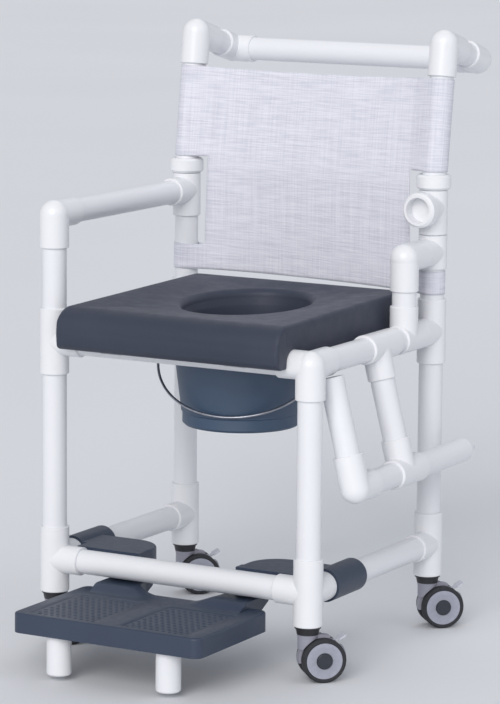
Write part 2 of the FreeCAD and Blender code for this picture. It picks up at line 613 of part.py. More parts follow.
def pail():
    base = vec(0, YF + PAIL_SET, PAIL_RIM_Z - PAIL_DEPTH)
    slope = (PAIL_TOP_R - PAIL_BOTTOM_R) / (PAIL_DEPTH - PAIL_BAND_H)
    depth = PAIL_DEPTH
    foot_r = PAIL_BOTTOM_R - PAIL_BAND_STEP
    wall = PAIL_WALL
    rim = depth + PAIL_RIM_T
    points = [(0, 0), (foot_r - 4.0, 0), (foot_r, 4.0), (foot_r, PAIL_BAND_H), (PAIL_BOTTOM_R, PAIL_BAND_H + 2.0),
              (PAIL_TOP_R, depth), (PAIL_RIM_R, depth), (PAIL_RIM_R, rim - 1.0), (PAIL_RIM_R - 1.0, rim),
              (PAIL_TOP_R - wall + slope * PAIL_RIM_T, rim), (PAIL_BOTTOM_R - wall, PAIL_BAND_H + 4.0),
              (foot_r - wall, PAIL_BAND_H + 2.0), (foot_r - wall, wall + 3.0), (foot_r - wall - 3.0, wall), (0, wall)]
    body = ring_solid(points, base, UP)
    turn = math.radians(BAIL_TURN)
    across = vec(math.cos(turn), math.sin(turn), 0)
    middle = vec(0, YF + PAIL_SET, PAIL_RIM_Z - BAIL_EAR_DROP)
    for side in (-1, 1):
        at = middle + across * (side * BAIL_EAR_R)
        half = across * (BAIL_EAR_T / 2.0)
        ear = rod(at - half, at + half, BAIL_EAR_SIZE)
        neck = Part.makeBox(BAIL_EAR_T, 2 * BAIL_EAR_SIZE, BAIL_EAR_DROP + 0.5)
        neck.translate(vec(-BAIL_EAR_T / 2.0, -BAIL_EAR_SIZE, 0))
        neck.rotate(vec(0, 0, 0), UP, BAIL_TURN)
        neck.translate(at)
        body = body.fuse(ear).fuse(neck)
        body = body.cut(rod(at - half * 2, at + half * 2, BAIL_WIRE_R + BAIL_FIT))
    write("pail", body.removeSplitter())
    # wire bail: two short pivots, two tight corners and one wide arc
    slope_down = math.radians(BAIL_SLOPE)
    level = UP.cross(across) * -1
    out = level * math.cos(slope_down) + DOWN * math.sin(slope_down)
    sunk = BAIL_REACH - BAIL_LOOP_R
    swing = BAIL_LOOP_R - BAIL_CORNER_R
    wide = math.sqrt(swing ** 2 - (BAIL_CORNER_R - sunk) ** 2)
    along = vec(wide, BAIL_CORNER_R - sunk, 0) * (1.0 / swing)
    half = vec(along.x, along.y - 1.0, 0)
    half.normalize()

    def at(x, depth):
        return middle + across * x + out * depth

    inner_end = BAIL_EAR_R - BAIL_EAR_T / 2.0 - 2.0
    edges = []
    for side in (-1, 1):
        pivot = at(side * inner_end, 0)
        turn_in = at(side * wide, 0)
        turn_mid = at(side * (wide + half.x * BAIL_CORNER_R), BAIL_CORNER_R * (1.0 + half.y))
        turn_out = at(side * along.x * BAIL_LOOP_R, sunk + along.y * BAIL_LOOP_R)
        part = [Part.makeLine(pivot, turn_in), Part.Arc(turn_in, turn_mid, turn_out).toShape()]
        if side > 0:
            start = at(-along.x * BAIL_LOOP_R, sunk + along.y * BAIL_LOOP_R)
            edges.append(Part.Arc(start, at(0, BAIL_REACH), turn_out).toShape())
            part = part[::-1]
        edges += part
    section = Part.Wire(Part.makeCircle(BAIL_WIRE_R, at(-inner_end, 0), across * -1))
    write("pail_bail", Part.Wire(edges).makePipeShell([section], True, False, 1))


# Footrest: one moulding that slides on the lower side rails, on two pipe feet
def footrest():
    bottom = PLATE_TOP - PLATE_THICK
    y0 = YF - PLATE_FRONT
    y1 = YF - PLATE_REAR
    plate = plan_outline(PLATE_HALF, PLATE_HALF, y0, y1, PLATE_CORNER, bottom)
    plate = plate.extrude(vec(0, 0, PLATE_THICK))
    crown = [e for e in plate.Edges if all(abs(p.Z - PLATE_TOP) < 0.01 for p in e.Vertexes)]
    plate = plate.makeFillet(PLATE_ROUND, crown)
    # hollow underside with a crossed pair of ribs
    inset = PLATE_WALL
    under = plan_outline(PLATE_HALF - inset, PLATE_HALF - inset, y0 + inset, y1 - inset, PLATE_CORNER - inset,
                         bottom - 1)
    under = under.extrude(vec(0, 0, PLATE_THICK - TREAD_DEPTH - PLATE_WALL + 1))
    mid_y = (y0 + y1) / 2.0
    for rib in (box(-PLATE_RIB / 2, PLATE_RIB / 2, y0, y1, bottom - 2, PLATE_TOP),
                box(-PLATE_HALF, PLATE_HALF, mid_y - PLATE_RIB / 2, mid_y + PLATE_RIB / 2, bottom - 2, PLATE_TOP)):
        under = under.cut(rib)
    # sunk foot areas inside a raised rim, with a smooth band between them
    treads = []
    for side in (-1, 1):
        lo = min(side * TREAD_BAND / 2.0, side * (PLATE_HALF - TREAD_INSET))
        hi = max(side * TREAD_BAND / 2.0, side * (PLATE_HALF - TREAD_INSET))
        treads.append(box(lo, hi, y0 + TREAD_INSET, y1 - TREAD_INSET, PLATE_TOP - TREAD_DEPTH, PLATE_TOP + 1))
    plate = plate.cut(under)
    for tread in treads:
        plate = plate.cut(tread)
    # arms that pass under the front rail, rise behind it and carry the wings and sleeves
    neck_top = LOW_Z - PIPE_R - NECK_CLEAR
    wing_top = LOW_Z + WING_UP
    rise_y = YF + PIPE_R + WING_GAP
    body = plate
    for side in (-1, 1):
        lo = min(side * NECK_IN, side * NECK_OUT)
        hi = max(side * NECK_IN, side * NECK_OUT)
        bend_y = rise_y + NECK_THICK
        ramp = [vec(lo, y1 - PLATE_WALL, bottom + PLATE_WALL), vec(lo, y1 - RAMP_RUN, PLATE_TOP - TREAD_DEPTH - 1.0),
                vec(lo, YF - PIPE_R / 2.0, neck_top), vec(lo, rise_y, neck_top), vec(lo, rise_y, wing_top),
                vec(lo, bend_y, wing_top), vec(lo, bend_y, neck_top - NECK_THICK / 2.0),
                vec(lo, rise_y, neck_top - NECK_THICK)]
        neck = Part.Face(Part.makePolygon(ramp + ramp[:1])).extrude(vec(hi - lo, 0, 0))
        # behind the rail the arm is only as wide as its wing
        lo = min(side * (NECK_IN - 1), side * WING_IN)
        hi = max(side * (NECK_IN - 1), side * WING_IN)
        neck = neck.cut(box(lo, hi, rise_y, 0, neck_top, LOW_Z + WING_UP + 1))
        # round inner corner between the plate and the arm
        lo = min(side * NECK_IN, side * (NECK_IN - NOTCH_ROUND))
        hi = max(side * NECK_IN, side * (NECK_IN - NOTCH_ROUND))
        web_low = neck_top - NECK_THICK
        web = box(lo - 1, hi + 1, y1 - PLATE_WALL, y1 + NOTCH_ROUND, web_low, PLATE_TOP - PLATE_ROUND)
        web = web.common(box(lo if side > 0 else lo - 1, hi + 1 if side > 0 else hi, y1 - PLATE_WALL - 1, 0, 0, LOW_Z))
        at = vec(side * (NECK_IN - NOTCH_ROUND), y1 + NOTCH_ROUND, 0)
        neck = neck.fuse(web.cut(rod(at, at + UP * LOW_Z, NOTCH_ROUND)))
        lo = min(side * WING_IN, side * XL)
        hi = max(side * WING_IN, side * XL)
        wing = box(lo, hi, rise_y, YF + WING_REAR, wing_top - WING_THICK, wing_top)
        tips = [e for e in wing.Edges if abs(e.Vertexes[0].Z - e.Vertexes[1].Z) > 1
                and abs(abs(e.Vertexes[0].X) - WING_IN) < 0.1 and e.Vertexes[0].Y > rise_y + 1]
        wing = wing.makeFillet(WING_ROUND, tips)
        rims = [e for e in wing.Edges if all(abs(p.Z - wing_top) < 0.01 for p in e.Vertexes)
                and not all(abs(abs(p.X) - XL) < 0.01 for p in e.Vertexes)
                and not all(abs(p.Y - rise_y) < 0.01 for p in e.Vertexes)]
        wing = wing.makeFillet(WING_EDGE, rims)
        axis_start = vec(side * XL, YF + REACH + SLEEVE_GAP, LOW_Z)
        axis_end = axis_start + BACK * SLEEVE_LEN
        outer = PIPE_R + SLEEVE_FIT + SLEEVE_WALL
        edge = XL - HUB_R - WING_GAP
        notch = box(min(side * edge, side * 2 * XL), max(side * edge, side * 2 * XL), rise_y - 1, axis_start.y,
                    0, wing_top + 1)
        body = body.fuse(neck).fuse(wing.cut(notch)).fuse(rod(axis_start, axis_end, outer))
        body = body.cut(rod(axis_start - BACK * REACH, axis_end + BACK * REACH, PIPE_R + SLEEVE_FIT))
    sockets = []
    for side in (-1, 1):
        at = vec(side * FOOT_SET_X, YF - FOOT_SET_Y, bottom)
        boss = rod(at, at + UP * FOOT_SOCKET, FOOT_R + GLUE_GAP + PLATE_WALL)
        lid = rod(at + UP * FOOT_SOCKET, at + UP * (PLATE_THICK - TREAD_DEPTH), FOOT_R + GLUE_GAP + PLATE_WALL)
        body = body.fuse(boss.fuse(lid).common(box(-PLATE_HALF, PLATE_HALF, y0 + 1, y1, 0, PLATE_TOP)))
        sockets.append(rod(at - UP, at + UP * FOOT_SOCKET, FOOT_R + GLUE_GAP))
    for cut in sockets:
        body = body.cut(cut)
    write("footrest_plate", body.removeSplitter())
    feet = []
    for side in (-1, 1):
        at = vec(side * FOOT_SET_X, YF - FOOT_SET_Y, FOOT_CLEAR)
        high = bottom + FOOT_SOCKET - SEAT_GAP - FOOT_CLEAR
        r = FOOT_R
        points = [(0, 0), (r - FOOT_EDGE, 0), (r, FOOT_EDGE), (r, high), (0, high)]
        feet.append(ring_solid(points, at, UP))
    write("footrest_feet", *feet)


# Sling back: sleeves on the upper posts, a panel, and straps round the lower posts
def sling():
    inner = PIPE_R + SLING_FIT
    outer = inner + SLING_T
    sleeve_low = COLLAR_H / 2.0 + COLLAR_R * math.sin(LEAN) + 1.0
    sleeve_top = UPPER_LEN - REACH - SLING_TOP_GAP
    base_z = RAIL_Z + SLING_BASE
    strap_top = base_z + STRAP_H
    knee = vec(0, YB, COLLAR_Z)
    tilt = FreeCAD.Placement(knee, FreeCAD.Rotation(vec(1, 0, 0), -RECLINE))
    half = SLING_T / 2.0
    mitre = SLING_T
    # upper panel, drawn upright at the knee and then leaned back
    upper = box(-XL, XL, -half, half, -mitre, sleeve_top)
    upper = upper.cut(box(-XL - 1, -XL + CUT_DEEP, -SLING_T, SLING_T, -mitre - 1, sleeve_low))
    upper = upper.cut(box(XL - CUT_DEEP, XL + 1, -SLING_T, SLING_T, -mitre - 1, sleeve_low))
    for x in (-XL, XL):
        upper = upper.fuse(rod(vec(x, 0, sleeve_low), vec(x, 0, sleeve_top), outer))
    for x in (-XL, XL):
        upper = upper.cut(rod(vec(x, 0, sleeve_low - 1), vec(x, 0, sleeve_top + 1), inner))
    upper.Placement = tilt
    # lower panel hangs straight between the posts
    side_top = XL - CUT_DEEP
    side_low = XL - CUT_LOW
    y = YB - half
    pts = [vec(-XL, y, base_z), vec(XL, y, base_z), vec(XL, y, strap_top), vec(side_low, y, strap_top),
           vec(side_top, y, COLLAR_Z + mitre), vec(-side_top, y, COLLAR_Z + mitre), vec(-side_low, y, strap_top),
           vec(-XL, y, strap_top)]
    lower = Part.Face(Part.makePolygon(pts + pts[:1])).extrude(vec(0, SLING_T, 0))
    for x in (-XL, XL):
        lower = lower.fuse(rod(vec(x, YB, base_z), vec(x, YB, strap_top), outer))
    for x in (-XL, XL):
        lower = lower.cut(rod(vec(x, YB, base_z - 1), vec(x, YB, strap_top + 1), inner))
    write("back_sling", upper.fuse(lower).removeSplitter())


# Twin-wheel casters
def caster_direction():
    turn = math.radians(TRAIL_TURN)
    return vec(math.cos(turn), math.sin(turn), 0)


def caster_inserts():
    inserts = []
    for x in (-XL, XL):
        for y in (YF, YB):
            low = LEG_FOOT_Z - INSERT_FLANGE_T
            points = [(STEM_R + STEM_FIT, 0), (INSERT_FLANGE_R, 0), (INSERT_FLANGE_R, INSERT_FLANGE_T),
                      (PIPE_R - GLUE_GAP, INSERT_FLANGE_T), (PIPE_R - GLUE_GAP, SOCKET_DEPTH - 2.0),
                      (BORE_R - 1.0, SOCKET_DEPTH), (BORE_R - 1.0, INSERT_UP), (STEM_R + STEM_FIT, INSERT_UP)]
            inserts.append(ring_solid(points, vec(x, y, low), UP))
    write("caster_inserts", *inserts)


def caster(name, x, y):
    ahead = caster_direction()
    side = vec(-ahead.y, ahead.x, 0)
    swivel = vec(x, y, 0)
    axle = swivel + ahead * TRAIL + UP * WHEEL_R
    gap = WHEEL_SPLIT - WHEEL_W / 2.0 - HOOD_SIDE_GAP
    insert_low = LEG_FOOT_Z - INSERT_FLANGE_T
    # hood between the wheels, neck under the leg and stem in its insert
    web = rod(axle - side * gap, axle + side * gap, WEB_R)
    hood = rod(axle - side * gap, axle + side * gap, HOOD_R)
    high = HOOD_R + HOOD_LOW
    web = web.fuse(hood.common(rod(axle - UP * HOOD_LOW, axle + UP * high, 2.0 * HOOD_R)))
    neck_low = swivel + UP * (WHEEL_R + 18.0)
    neck = rod(neck_low, swivel + UP * HOOD_TOP, NECK_R)
    head_top = insert_low - SWIVEL_GAP
    cone = [(0, HOOD_TOP - 6.0), (NECK_R, HOOD_TOP - 6.0), (INSERT_FLANGE_R - 2.0, head_top), (0, head_top)]
    head = ring_solid(cone, swivel, UP)
    stem = rod(swivel + UP * (head_top - 1), swivel + UP * (insert_low + STEM_UP), STEM_R)
    bridge = Part.makeBox(TRAIL + 6.0, 2 * gap, HOOD_TOP - WHEEL_R - 18.0)
    bridge.translate(vec(-6.0, -gap, WHEEL_R + 18.0))
    bridge.rotate(vec(0, 0, 0), UP, TRAIL_TURN)
    bridge.translate(swivel)
    bridge = bridge.common(rod(axle - side * gap, axle + side * gap, HOOD_TOP - WHEEL_R).fuse(neck))
    # the neck is kept clear of both wheels
    clear = WHEEL_R + 1.5
    half = WHEEL_SPLIT - WHEEL_W / 2.0 - HOOD_SIDE_GAP
    wide = WHEEL_SPLIT + WHEEL_W / 2.0 + HOOD_SIDE_GAP + 10.0
    yoke = web.fuse(neck).fuse(head).fuse(bridge)
    for sign in (-1, 1):
        yoke = yoke.cut(rod(axle + side * (sign * half), axle + side * (sign * wide), clear))
    yoke = yoke.fuse(stem)
    yoke = yoke.cut(rod(axle - side * 40, axle + side * 40, AXLE_R + AXLE_FIT))
    pin = axle + ahead * PEDAL_PIN_BACK + UP * PEDAL_PIN_UP
    # slot for the brake pedal at the back of the hood
    slot = Part.makeBox(60, 2 * gap + 2, 60)
    slot.translate(vec(-PEDAL_PIN_R - 3.5, -gap - 1, -PEDAL_PIN_R - 3.5))
    slot.rotate(vec(0, 0, 0), UP, TRAIL_TURN)
    slot.translate(pin)
    yoke = yoke.cut(slot)
    for sign in (-1, 1):
        lug = Part.makeBox(PEDAL_PIN_R + 3.5 + 3.0, 2.0, PEDAL_PIN_R * 2 + 4.0)
        lug.translate(vec(-PEDAL_PIN_R - 3.5, -1.0, -PEDAL_PIN_R - 2.0))
        lug.rotate(vec(0, 0, 0), UP, TRAIL_TURN)
        lug.translate(pin + side * (sign * (gap - 1.0)))
        yoke = yoke.fuse(lug)
    yoke = yoke.cut(rod(pin - side * (gap + 1), pin + side * (gap + 1), PEDAL_PIN_R + AXLE_FIT))
    write("caster_yoke_" + name, yoke.removeSplitter())
    # two wheels on one axle
    wheels = rod(axle - side * (WHEEL_SPLIT + WHEEL_W / 2.0 - 2), axle + side * (WHEEL_SPLIT + WHEEL_W / 2.0 - 2),
                 AXLE_R)
    for sign in (-1, 1):
        out = side * sign
        base = axle + out * (WHEEL_SPLIT - WHEEL_W / 2.0)
        r = TREAD_ROUND
        w = WHEEL_W
        points = [(0, 0), (WHEEL_R - r, 0), (WHEEL_R, r), (WHEEL_R, w - r), (WHEEL_R - r, w), (DISC_R + 1.5, w),
                  (DISC_R, w - DISC_SINK), (CAP_R, w - DISC_SINK), (CAP_R, w - DISC_SINK + CAP_H),
                  (CAP_R - 1.0, w - DISC_SINK + CAP_H + 0.8), (0, w - DISC_SINK + CAP_H + 0.8)]
        wheels = wheels.fuse(ring_solid(points, base, out))
    write("caster_wheels_" + name, wheels.removeSplitter())
    # brake pedal on its pin
    pedal = rod(pin - side * gap, pin + side * gap, PEDAL_PIN_R)
    hub_half = gap - 2.0 - AXLE_FIT * 4
    pedal = pedal.fuse(rod(pin - side * hub_half, pin + side * hub_half, PEDAL_PIN_R + 1.2))
    blade = Part.makeBox(PEDAL_REACH, 2 * hub_half, PEDAL_T)
    blade.translate(vec(0, -hub_half, -PEDAL_T / 2.0))
    pad = Part.makeBox(PEDAL_REACH * 0.55, PEDAL_W, PEDAL_T)
    pad.translate(vec(PEDAL_REACH * 0.45, -PEDAL_W / 2.0, -PEDAL_T / 2.0))
    uprights = [e for e in pad.Edges if abs(e.Vertexes[0].Z - e.Vertexes[1].Z) > 1
                and e.Vertexes[0].X > PEDAL_REACH * 0.6]
    pad = pad.makeFillet(4.0, uprights)
    blade = blade.fuse(pad)
    blade.rotate(vec(0, 0, 0), vec(0, 1, 0), -PEDAL_LEAN)
    blade.rotate(vec(0, 0, 0), UP, TRAIL_TURN)
    blade.translate(pin)
    write("caster_pedal_" + name, pedal.fuse(blade).removeSplitter())


lower_frame()
seat_frame()
fixed_arm()
back_frame()
brace()
arm_socket()
drop_arm()
seat()
pail_slides()
pail()
footrest()
sling()
caster_inserts()
for end, leg_y in (("front", YF), ("back", YB)):
    for hand, leg_x in (("right", -XL), ("left", XL)):
        caster(end + "_" + hand, leg_x, leg_y)
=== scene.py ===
import json
import math
import bpy
import numpy as np
from mathutils import Matrix, Vector


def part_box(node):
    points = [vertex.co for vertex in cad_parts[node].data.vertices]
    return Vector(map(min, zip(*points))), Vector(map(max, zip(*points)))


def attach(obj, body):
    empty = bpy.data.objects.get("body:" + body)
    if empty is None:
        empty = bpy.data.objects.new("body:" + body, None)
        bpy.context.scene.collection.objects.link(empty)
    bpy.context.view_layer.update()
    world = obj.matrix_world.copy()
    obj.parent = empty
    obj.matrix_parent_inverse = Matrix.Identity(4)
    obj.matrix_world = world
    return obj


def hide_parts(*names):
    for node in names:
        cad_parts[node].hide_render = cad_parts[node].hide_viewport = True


# Looks of a white pipe-frame shower commode chair, in metres, in the same frame as its solids.
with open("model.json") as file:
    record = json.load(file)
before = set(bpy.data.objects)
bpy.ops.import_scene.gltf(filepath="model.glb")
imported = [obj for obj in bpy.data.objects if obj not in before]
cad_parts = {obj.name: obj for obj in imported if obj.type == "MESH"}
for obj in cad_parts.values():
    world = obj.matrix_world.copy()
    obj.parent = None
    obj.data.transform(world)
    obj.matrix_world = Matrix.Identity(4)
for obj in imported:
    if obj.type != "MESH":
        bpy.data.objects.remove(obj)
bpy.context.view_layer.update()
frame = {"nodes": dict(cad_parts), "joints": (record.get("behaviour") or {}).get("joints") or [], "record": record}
nodes = frame["nodes"]
scene = bpy.context.scene
TAU = 2.0 * math.pi
QUARTER = math.pi / 2.0

# Places on the chair that the new pieces take from its solids
HALF_WIDE = 0.250          # leg axis from the middle
FRONT_Y = -0.223           # front leg axis
BACK_Y = 0.223             # back leg axis
RAIL_Z = 0.533             # axis height of the seat rails
KNEE_Z = 0.796             # height where the upper back starts to lean
LEAN = math.radians(7.7)   # of the upper back
PIPE_R = 0.0211
seat_low, seat_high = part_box("seat_cushion")
board_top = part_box("seat_board")[1].z
plate_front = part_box("footrest_plate")[0].y
sling_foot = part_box("back_sling")[0].z


# ---------------------------------------------------------------- meshes
def mesh_piece(name, points, faces, uv=None):
    """New smooth object from an array of points, a list of faces and optional UVs per point."""
    mesh = bpy.data.meshes.new(name)
    mesh.from_pydata(np.asarray(points, float).reshape(-1, 3).tolist(), [], faces)
    if uv is not None:
        layer = mesh.uv_layers.new(name="cloth")
        loops = np.empty(len(mesh.loops), np.int32)
        mesh.loops.foreach_get("vertex_index", loops)
        layer.data.foreach_set("uv", np.asarray(uv, np.float32).reshape(-1, 2)[loops].ravel())
    mesh.polygons.foreach_set("use_smooth", np.ones(len(mesh.polygons), bool))
    mesh.update()
    piece = bpy.data.objects.new(name, mesh)
    scene.collection.objects.link(piece)
    return piece


def grid_quads(rows, cols, wrap_rows=False, wrap_cols=False):
    """Quads of a grid of rows by cols points, each joining a point to its next row and column."""
    r = np.arange(rows if wrap_rows else rows - 1)[:, None]
    c = np.arange(cols if wrap_cols else cols - 1)[None, :]
    r1 = (r + 1) % rows
    c1 = (c + 1) % cols
    quads = np.stack([r * cols + c, r * cols + c1, r1 * cols + c1, r1 * cols + c], -1)
    return quads.reshape(-1, 4)


def ring_cap(count):
    """Quads across an even ring of points, each between two neighbours and the two facing them."""
    k = np.arange(count // 2 - 1)
    return np.stack([k, k + 1, count - 2 - k, count - 1 - k], -1)


def repeated(quads, copies, count):
    """The quads of one shape of count points, for each of its copies in turn, as a list."""
    shift = np.arange(copies)[:, None, None] * count
    return (quads[None] + shift).reshape(-1, 4).tolist()


def smoothstep(x, low, high):
    """0 below low, 1 above high, and 3t^2 - 2t^3 between them."""
    t = np.clip((x - low) / (high - low), 0.0, 1.0)
    return t * t * (3.0 - 2.0 * t)


def fillet(depth, radius):
    """Fall of a quarter circle: 0 at depth 0 and below, the whole radius at depth = radius."""
    return radius - np.sqrt(radius ** 2 - np.clip(depth, 0.0, radius) ** 2)


def between(first, second, share):
    """Straight mix of two values, points or arrays: the first at share 0, the second at share 1."""
    return first + (second - first) * share


# ---------------------------------------------------------------- materials
def feed(tree, socket, value):
    """Link a socket to another node's output, or set it to a number, a vector or a colour."""
    if isinstance(value, bpy.types.NodeSocket):
        tree.links.new(value, socket)
    elif socket.type == "RGBA":
        socket.default_value = (*value, 1.0)
    else:
        socket.default_value = value


def finish_material(name, base, roughness, **sockets):
    """A principled material with its constant sockets set directly, and its tree and shader."""
    material = bpy.data.materials.new(name)
    material.use_nodes = True
    tree = material.node_tree
    shader = tree.nodes["Principled BSDF"]
    shader.inputs["Base Color"].default_value = (*base, 1.0)
    shader.inputs["Roughness"].default_value = roughness
    for socket, value in sockets.items():
        shader.inputs[socket.replace("_", " ")].default_value = value
    return material, tree, shader


def node(tree, kind, settings=None, **inputs):
    """Add a node, set its attributes and feed its inputs, by name or by number (i0, i1)."""
    made = tree.nodes.new(kind)
    for key, value in (settings or {}).items():
        setattr(made, key, value)
    for key, value in inputs.items():
        numbered = key[0] == "i" and key[1:].isdigit()
        feed(tree, made.inputs[int(key[1:]) if numbered else key], value)
    return made


def object_place(tree, scale=(1, 1, 1), location=(0, 0, 0), rotation=(0, 0, 0), uv=False):
    """Object coordinates, or the piece's own UV, through one mapping."""
    source = node(tree, "ShaderNodeTexCoord").outputs["UV" if uv else "Object"]
    return node(tree, "ShaderNodeMapping", Vector=source, Scale=scale, Location=location,
                Rotation=rotation).outputs["Vector"]


def noise(tree, vector, scale, detail, rough):
    """Noise: scale per metre, detail in octaves, rough the share that each octave keeps."""
    return node(tree, "ShaderNodeTexNoise", Vector=vector, Scale=scale, Detail=detail,
                Roughness=rough).outputs["Fac"]


def spread(tree, value, low, high, out_low=0.0, out_high=1.0):
    """Map a value from one range to another, clamped."""
    return node(tree, "ShaderNodeMapRange", i0=value, i1=low, i2=high, i3=out_low,
                i4=out_high).outputs["Result"]


def edge_at(tree, value, place, soft):
    """0 below a place and 1 above it, with a straight step of twice soft between them."""
    return spread(tree, value, place - soft, place + soft)


def mixed(tree, factor, first, second, blend="MIX"):
    """Mix of two colours, or of sockets that give colours."""
    return node(tree, "ShaderNodeMix", {"data_type": "RGBA", "blend_type": blend}, i0=factor,
                i6=first, i7=second).outputs[2]


def maths(tree, operation, first, second=0.0, third=0.0):
    """One step of arithmetic on values or sockets."""
    return node(tree, "ShaderNodeMath", {"operation": operation}, i0=first, i1=second,
                i2=third).outputs[0]


def grey(tree, value):
    """The same value in all three channels of a colour."""
    return node(tree, "ShaderNodeCombineColor", i0=value, i1=value, i2=value).outputs[0]


def bumped(tree, shader, height, depth):
    """Bump the shader's normal with a height value that stands for up to depth metres."""
    bump = node(tree, "ShaderNodeBump", Height=height, Distance=depth, Strength=1.0)
    feed(tree, shader.inputs["Normal"], bump.outputs["Normal"])


def moulded(name, base, other, roughness, grain, depth, blotch=7.0, uneven=0.05, **sockets):
    """Moulded plastic: two close colours in slow blotches, a fine grain bump and uneven gloss.

    grain and blotch are noise scales, depth is the grain's height and uneven the spread of the
    roughness to each side.
    """
    material, tree, shader = finish_material(name, base, roughness, **sockets)
    place = object_place(tree)
    slow = spread(tree, noise(tree, place, blotch, 4.0, 0.55), 0.3, 0.7)
    feed(tree, shader.inputs["Base Color"], mixed(tree, slow, base, other))
    scuff = noise(tree, place, blotch * 9.0, 3.0, 0.7)
    gloss = spread(tree, scuff, 0.25, 0.75, roughness - uneven, roughness + uneven)
    feed(tree, shader.inputs["Roughness"], gloss)
    bumped(tree, shader, noise(tree, place, grain, 2.0, 0.6), depth)
    return material


def pipe_material(name, base, other, roughness):
    """White extruded or moulded pipe plastic with a faint orange-peel surface."""
    return moulded(name, base, other, roughness, grain=180.0, depth=0.00002, blotch=3.0,
                   uneven=0.015, IOR=1.50)


YOKE_HEAD_Z = 0.080        # the caster's hood is grey below this height, its neck and head black
WHEEL_CAP_R = 0.0140       # the wheel's dark cap, and the outside of its pale disc
WHEEL_DISC_R = 0.0305
WHEEL_STEP = 0.0003        # half the soft step at the disc's outside
YARN_WIDE = 0.0021         # from one yarn of the sling to the next, across and up
YARN_HIGH = 0.0017


def yoke_material():
    """Caster hood: light grey plastic, with its neck and head in black."""
    material, tree, shader = finish_material("caster_grey", (0.33, 0.32, 0.40), 0.42)
    place = object_place(tree)
    height = node(tree, "ShaderNodeSeparateXYZ", Vector=place).outputs["Z"]
    slow = noise(tree, place, 30.0, 4.0, 0.55)
    hood = mixed(tree, slow, (0.335, 0.335, 0.395), (0.285, 0.285, 0.340))
    head = mixed(tree, slow, (0.016, 0.016, 0.019), (0.026, 0.026, 0.030))
    colour = mixed(tree, edge_at(tree, height, YOKE_HEAD_Z, 0.0005), hood, head)
    feed(tree, shader.inputs["Base Color"], colour)
    bumped(tree, shader, noise(tree, place, 800.0, 2.0, 0.6), 0.0001)
    return material


def wire_material():
    """Drawn steel wire with fine scratches and darker stains."""
    dark = (0.30, 0.31, 0.35)
    material, tree, shader = finish_material("bail_wire", dark, 0.30, Metallic=1.0)
    stain = spread(tree, noise(tree, object_place(tree), 60.0, 4.0, 0.6), 0.35, 0.7)
    feed(tree, shader.inputs["Base Color"], mixed(tree, stain, (0.46, 0.47, 0.52), dark))
    scratch = noise(tree, object_place(tree, (1, 1, 14)), 420.0, 2.0, 0.6)
    feed(tree, shader.inputs["Roughness"], spread(tree, scratch, 0.3, 0.7, 0.22, 0.42))
    bumped(tree, shader, scratch, 0.00004)
    return material


def wheel_material(name, axle, turn):
    """Wheel colours by distance from the axle: dark cap, pale disc with painted shade towards the cap, worn black
    tyre.
    """
    material, tree, shader = finish_material(name, (0.4, 0.4, 0.46), 0.4)
    hub = Matrix.Rotation(-turn, 3, "Z") @ axle
    place = object_place(tree, location=tuple(-hub), rotation=(0, 0, -turn))
    part = node(tree, "ShaderNodeSeparateXYZ", Vector=place)
    flat = node(tree, "ShaderNodeCombineXYZ", X=part.outputs["X"], Z=part.outputs["Z"])
    radius = node(tree, "ShaderNodeVectorMath", {"operation": "LENGTH"},
                  i0=flat.outputs[0]).outputs["Value"]
    speck = noise(tree, place, 160.0, 3.0, 0.6)
    disc = mixed(tree, spread(tree, speck, 0.3, 0.7), (0.385, 0.395, 0.465), (0.335, 0.345, 0.410))
    # painted shade on the pale disc: darker towards the cap, a little lighter towards its outside
    painted_shade = spread(tree, radius, 0.013, 0.031, 0.86, 1.04)
    disc = mixed(tree, 1.0, disc, grey(tree, painted_shade), "MULTIPLY")
    tyre = mixed(tree, speck, (0.014, 0.015, 0.019), (0.035, 0.036, 0.042))
    cap = mixed(tree, speck, (0.022, 0.026, 0.036), (0.034, 0.039, 0.052))
    inner = mixed(tree, edge_at(tree, radius, WHEEL_CAP_R, 0.0002), cap, disc)
    outer = mixed(tree, edge_at(tree, radius, WHEEL_DISC_R, WHEEL_STEP), inner, tyre)
    feed(tree, shader.inputs["Base Color"], outer)
    gloss = spread(tree, radius, WHEEL_DISC_R - WHEEL_STEP, WHEEL_DISC_R + WHEEL_STEP, 0.36, 0.72)
    feed(tree, shader.inputs["Roughness"], gloss)
    bumped(tree, shader, speck, 0.00012)
    return material


def skin_material():
    """Soft foam skin of the seat: slate in slow blotches, pebbled in two sizes, unevenly glossy."""
    material, tree, shader = finish_material("seat_skin", (0.043, 0.051, 0.078), 0.50,
                                             Sheen_Weight=0.03, Sheen_Roughness=0.4,
                                             Specular_IOR_Level=0.30)
    place = object_place(tree)
    slow = spread(tree, noise(tree, place, 9.0, 4.0, 0.55), 0.3, 0.7)
    colour = mixed(tree, slow, (0.040, 0.048, 0.073), (0.047, 0.055, 0.083))
    feed(tree, shader.inputs["Base Color"], colour)
    gloss = spread(tree, noise(tree, place, 40.0, 3.0, 0.6), 0.3, 0.7, 0.44, 0.56)
    feed(tree, shader.inputs["Roughness"], gloss)
    pebble = node(tree, "ShaderNodeTexVoronoi", {"feature": "SMOOTH_F1"}, Vector=place,
                  Scale=620.0).outputs["Distance"]
    fine = noise(tree, place, 1500.0, 2.0, 0.5)
    bumped(tree, shader, maths(tree, "MULTIPLY_ADD", fine, 0.4, pebble), 0.00016)
    return material


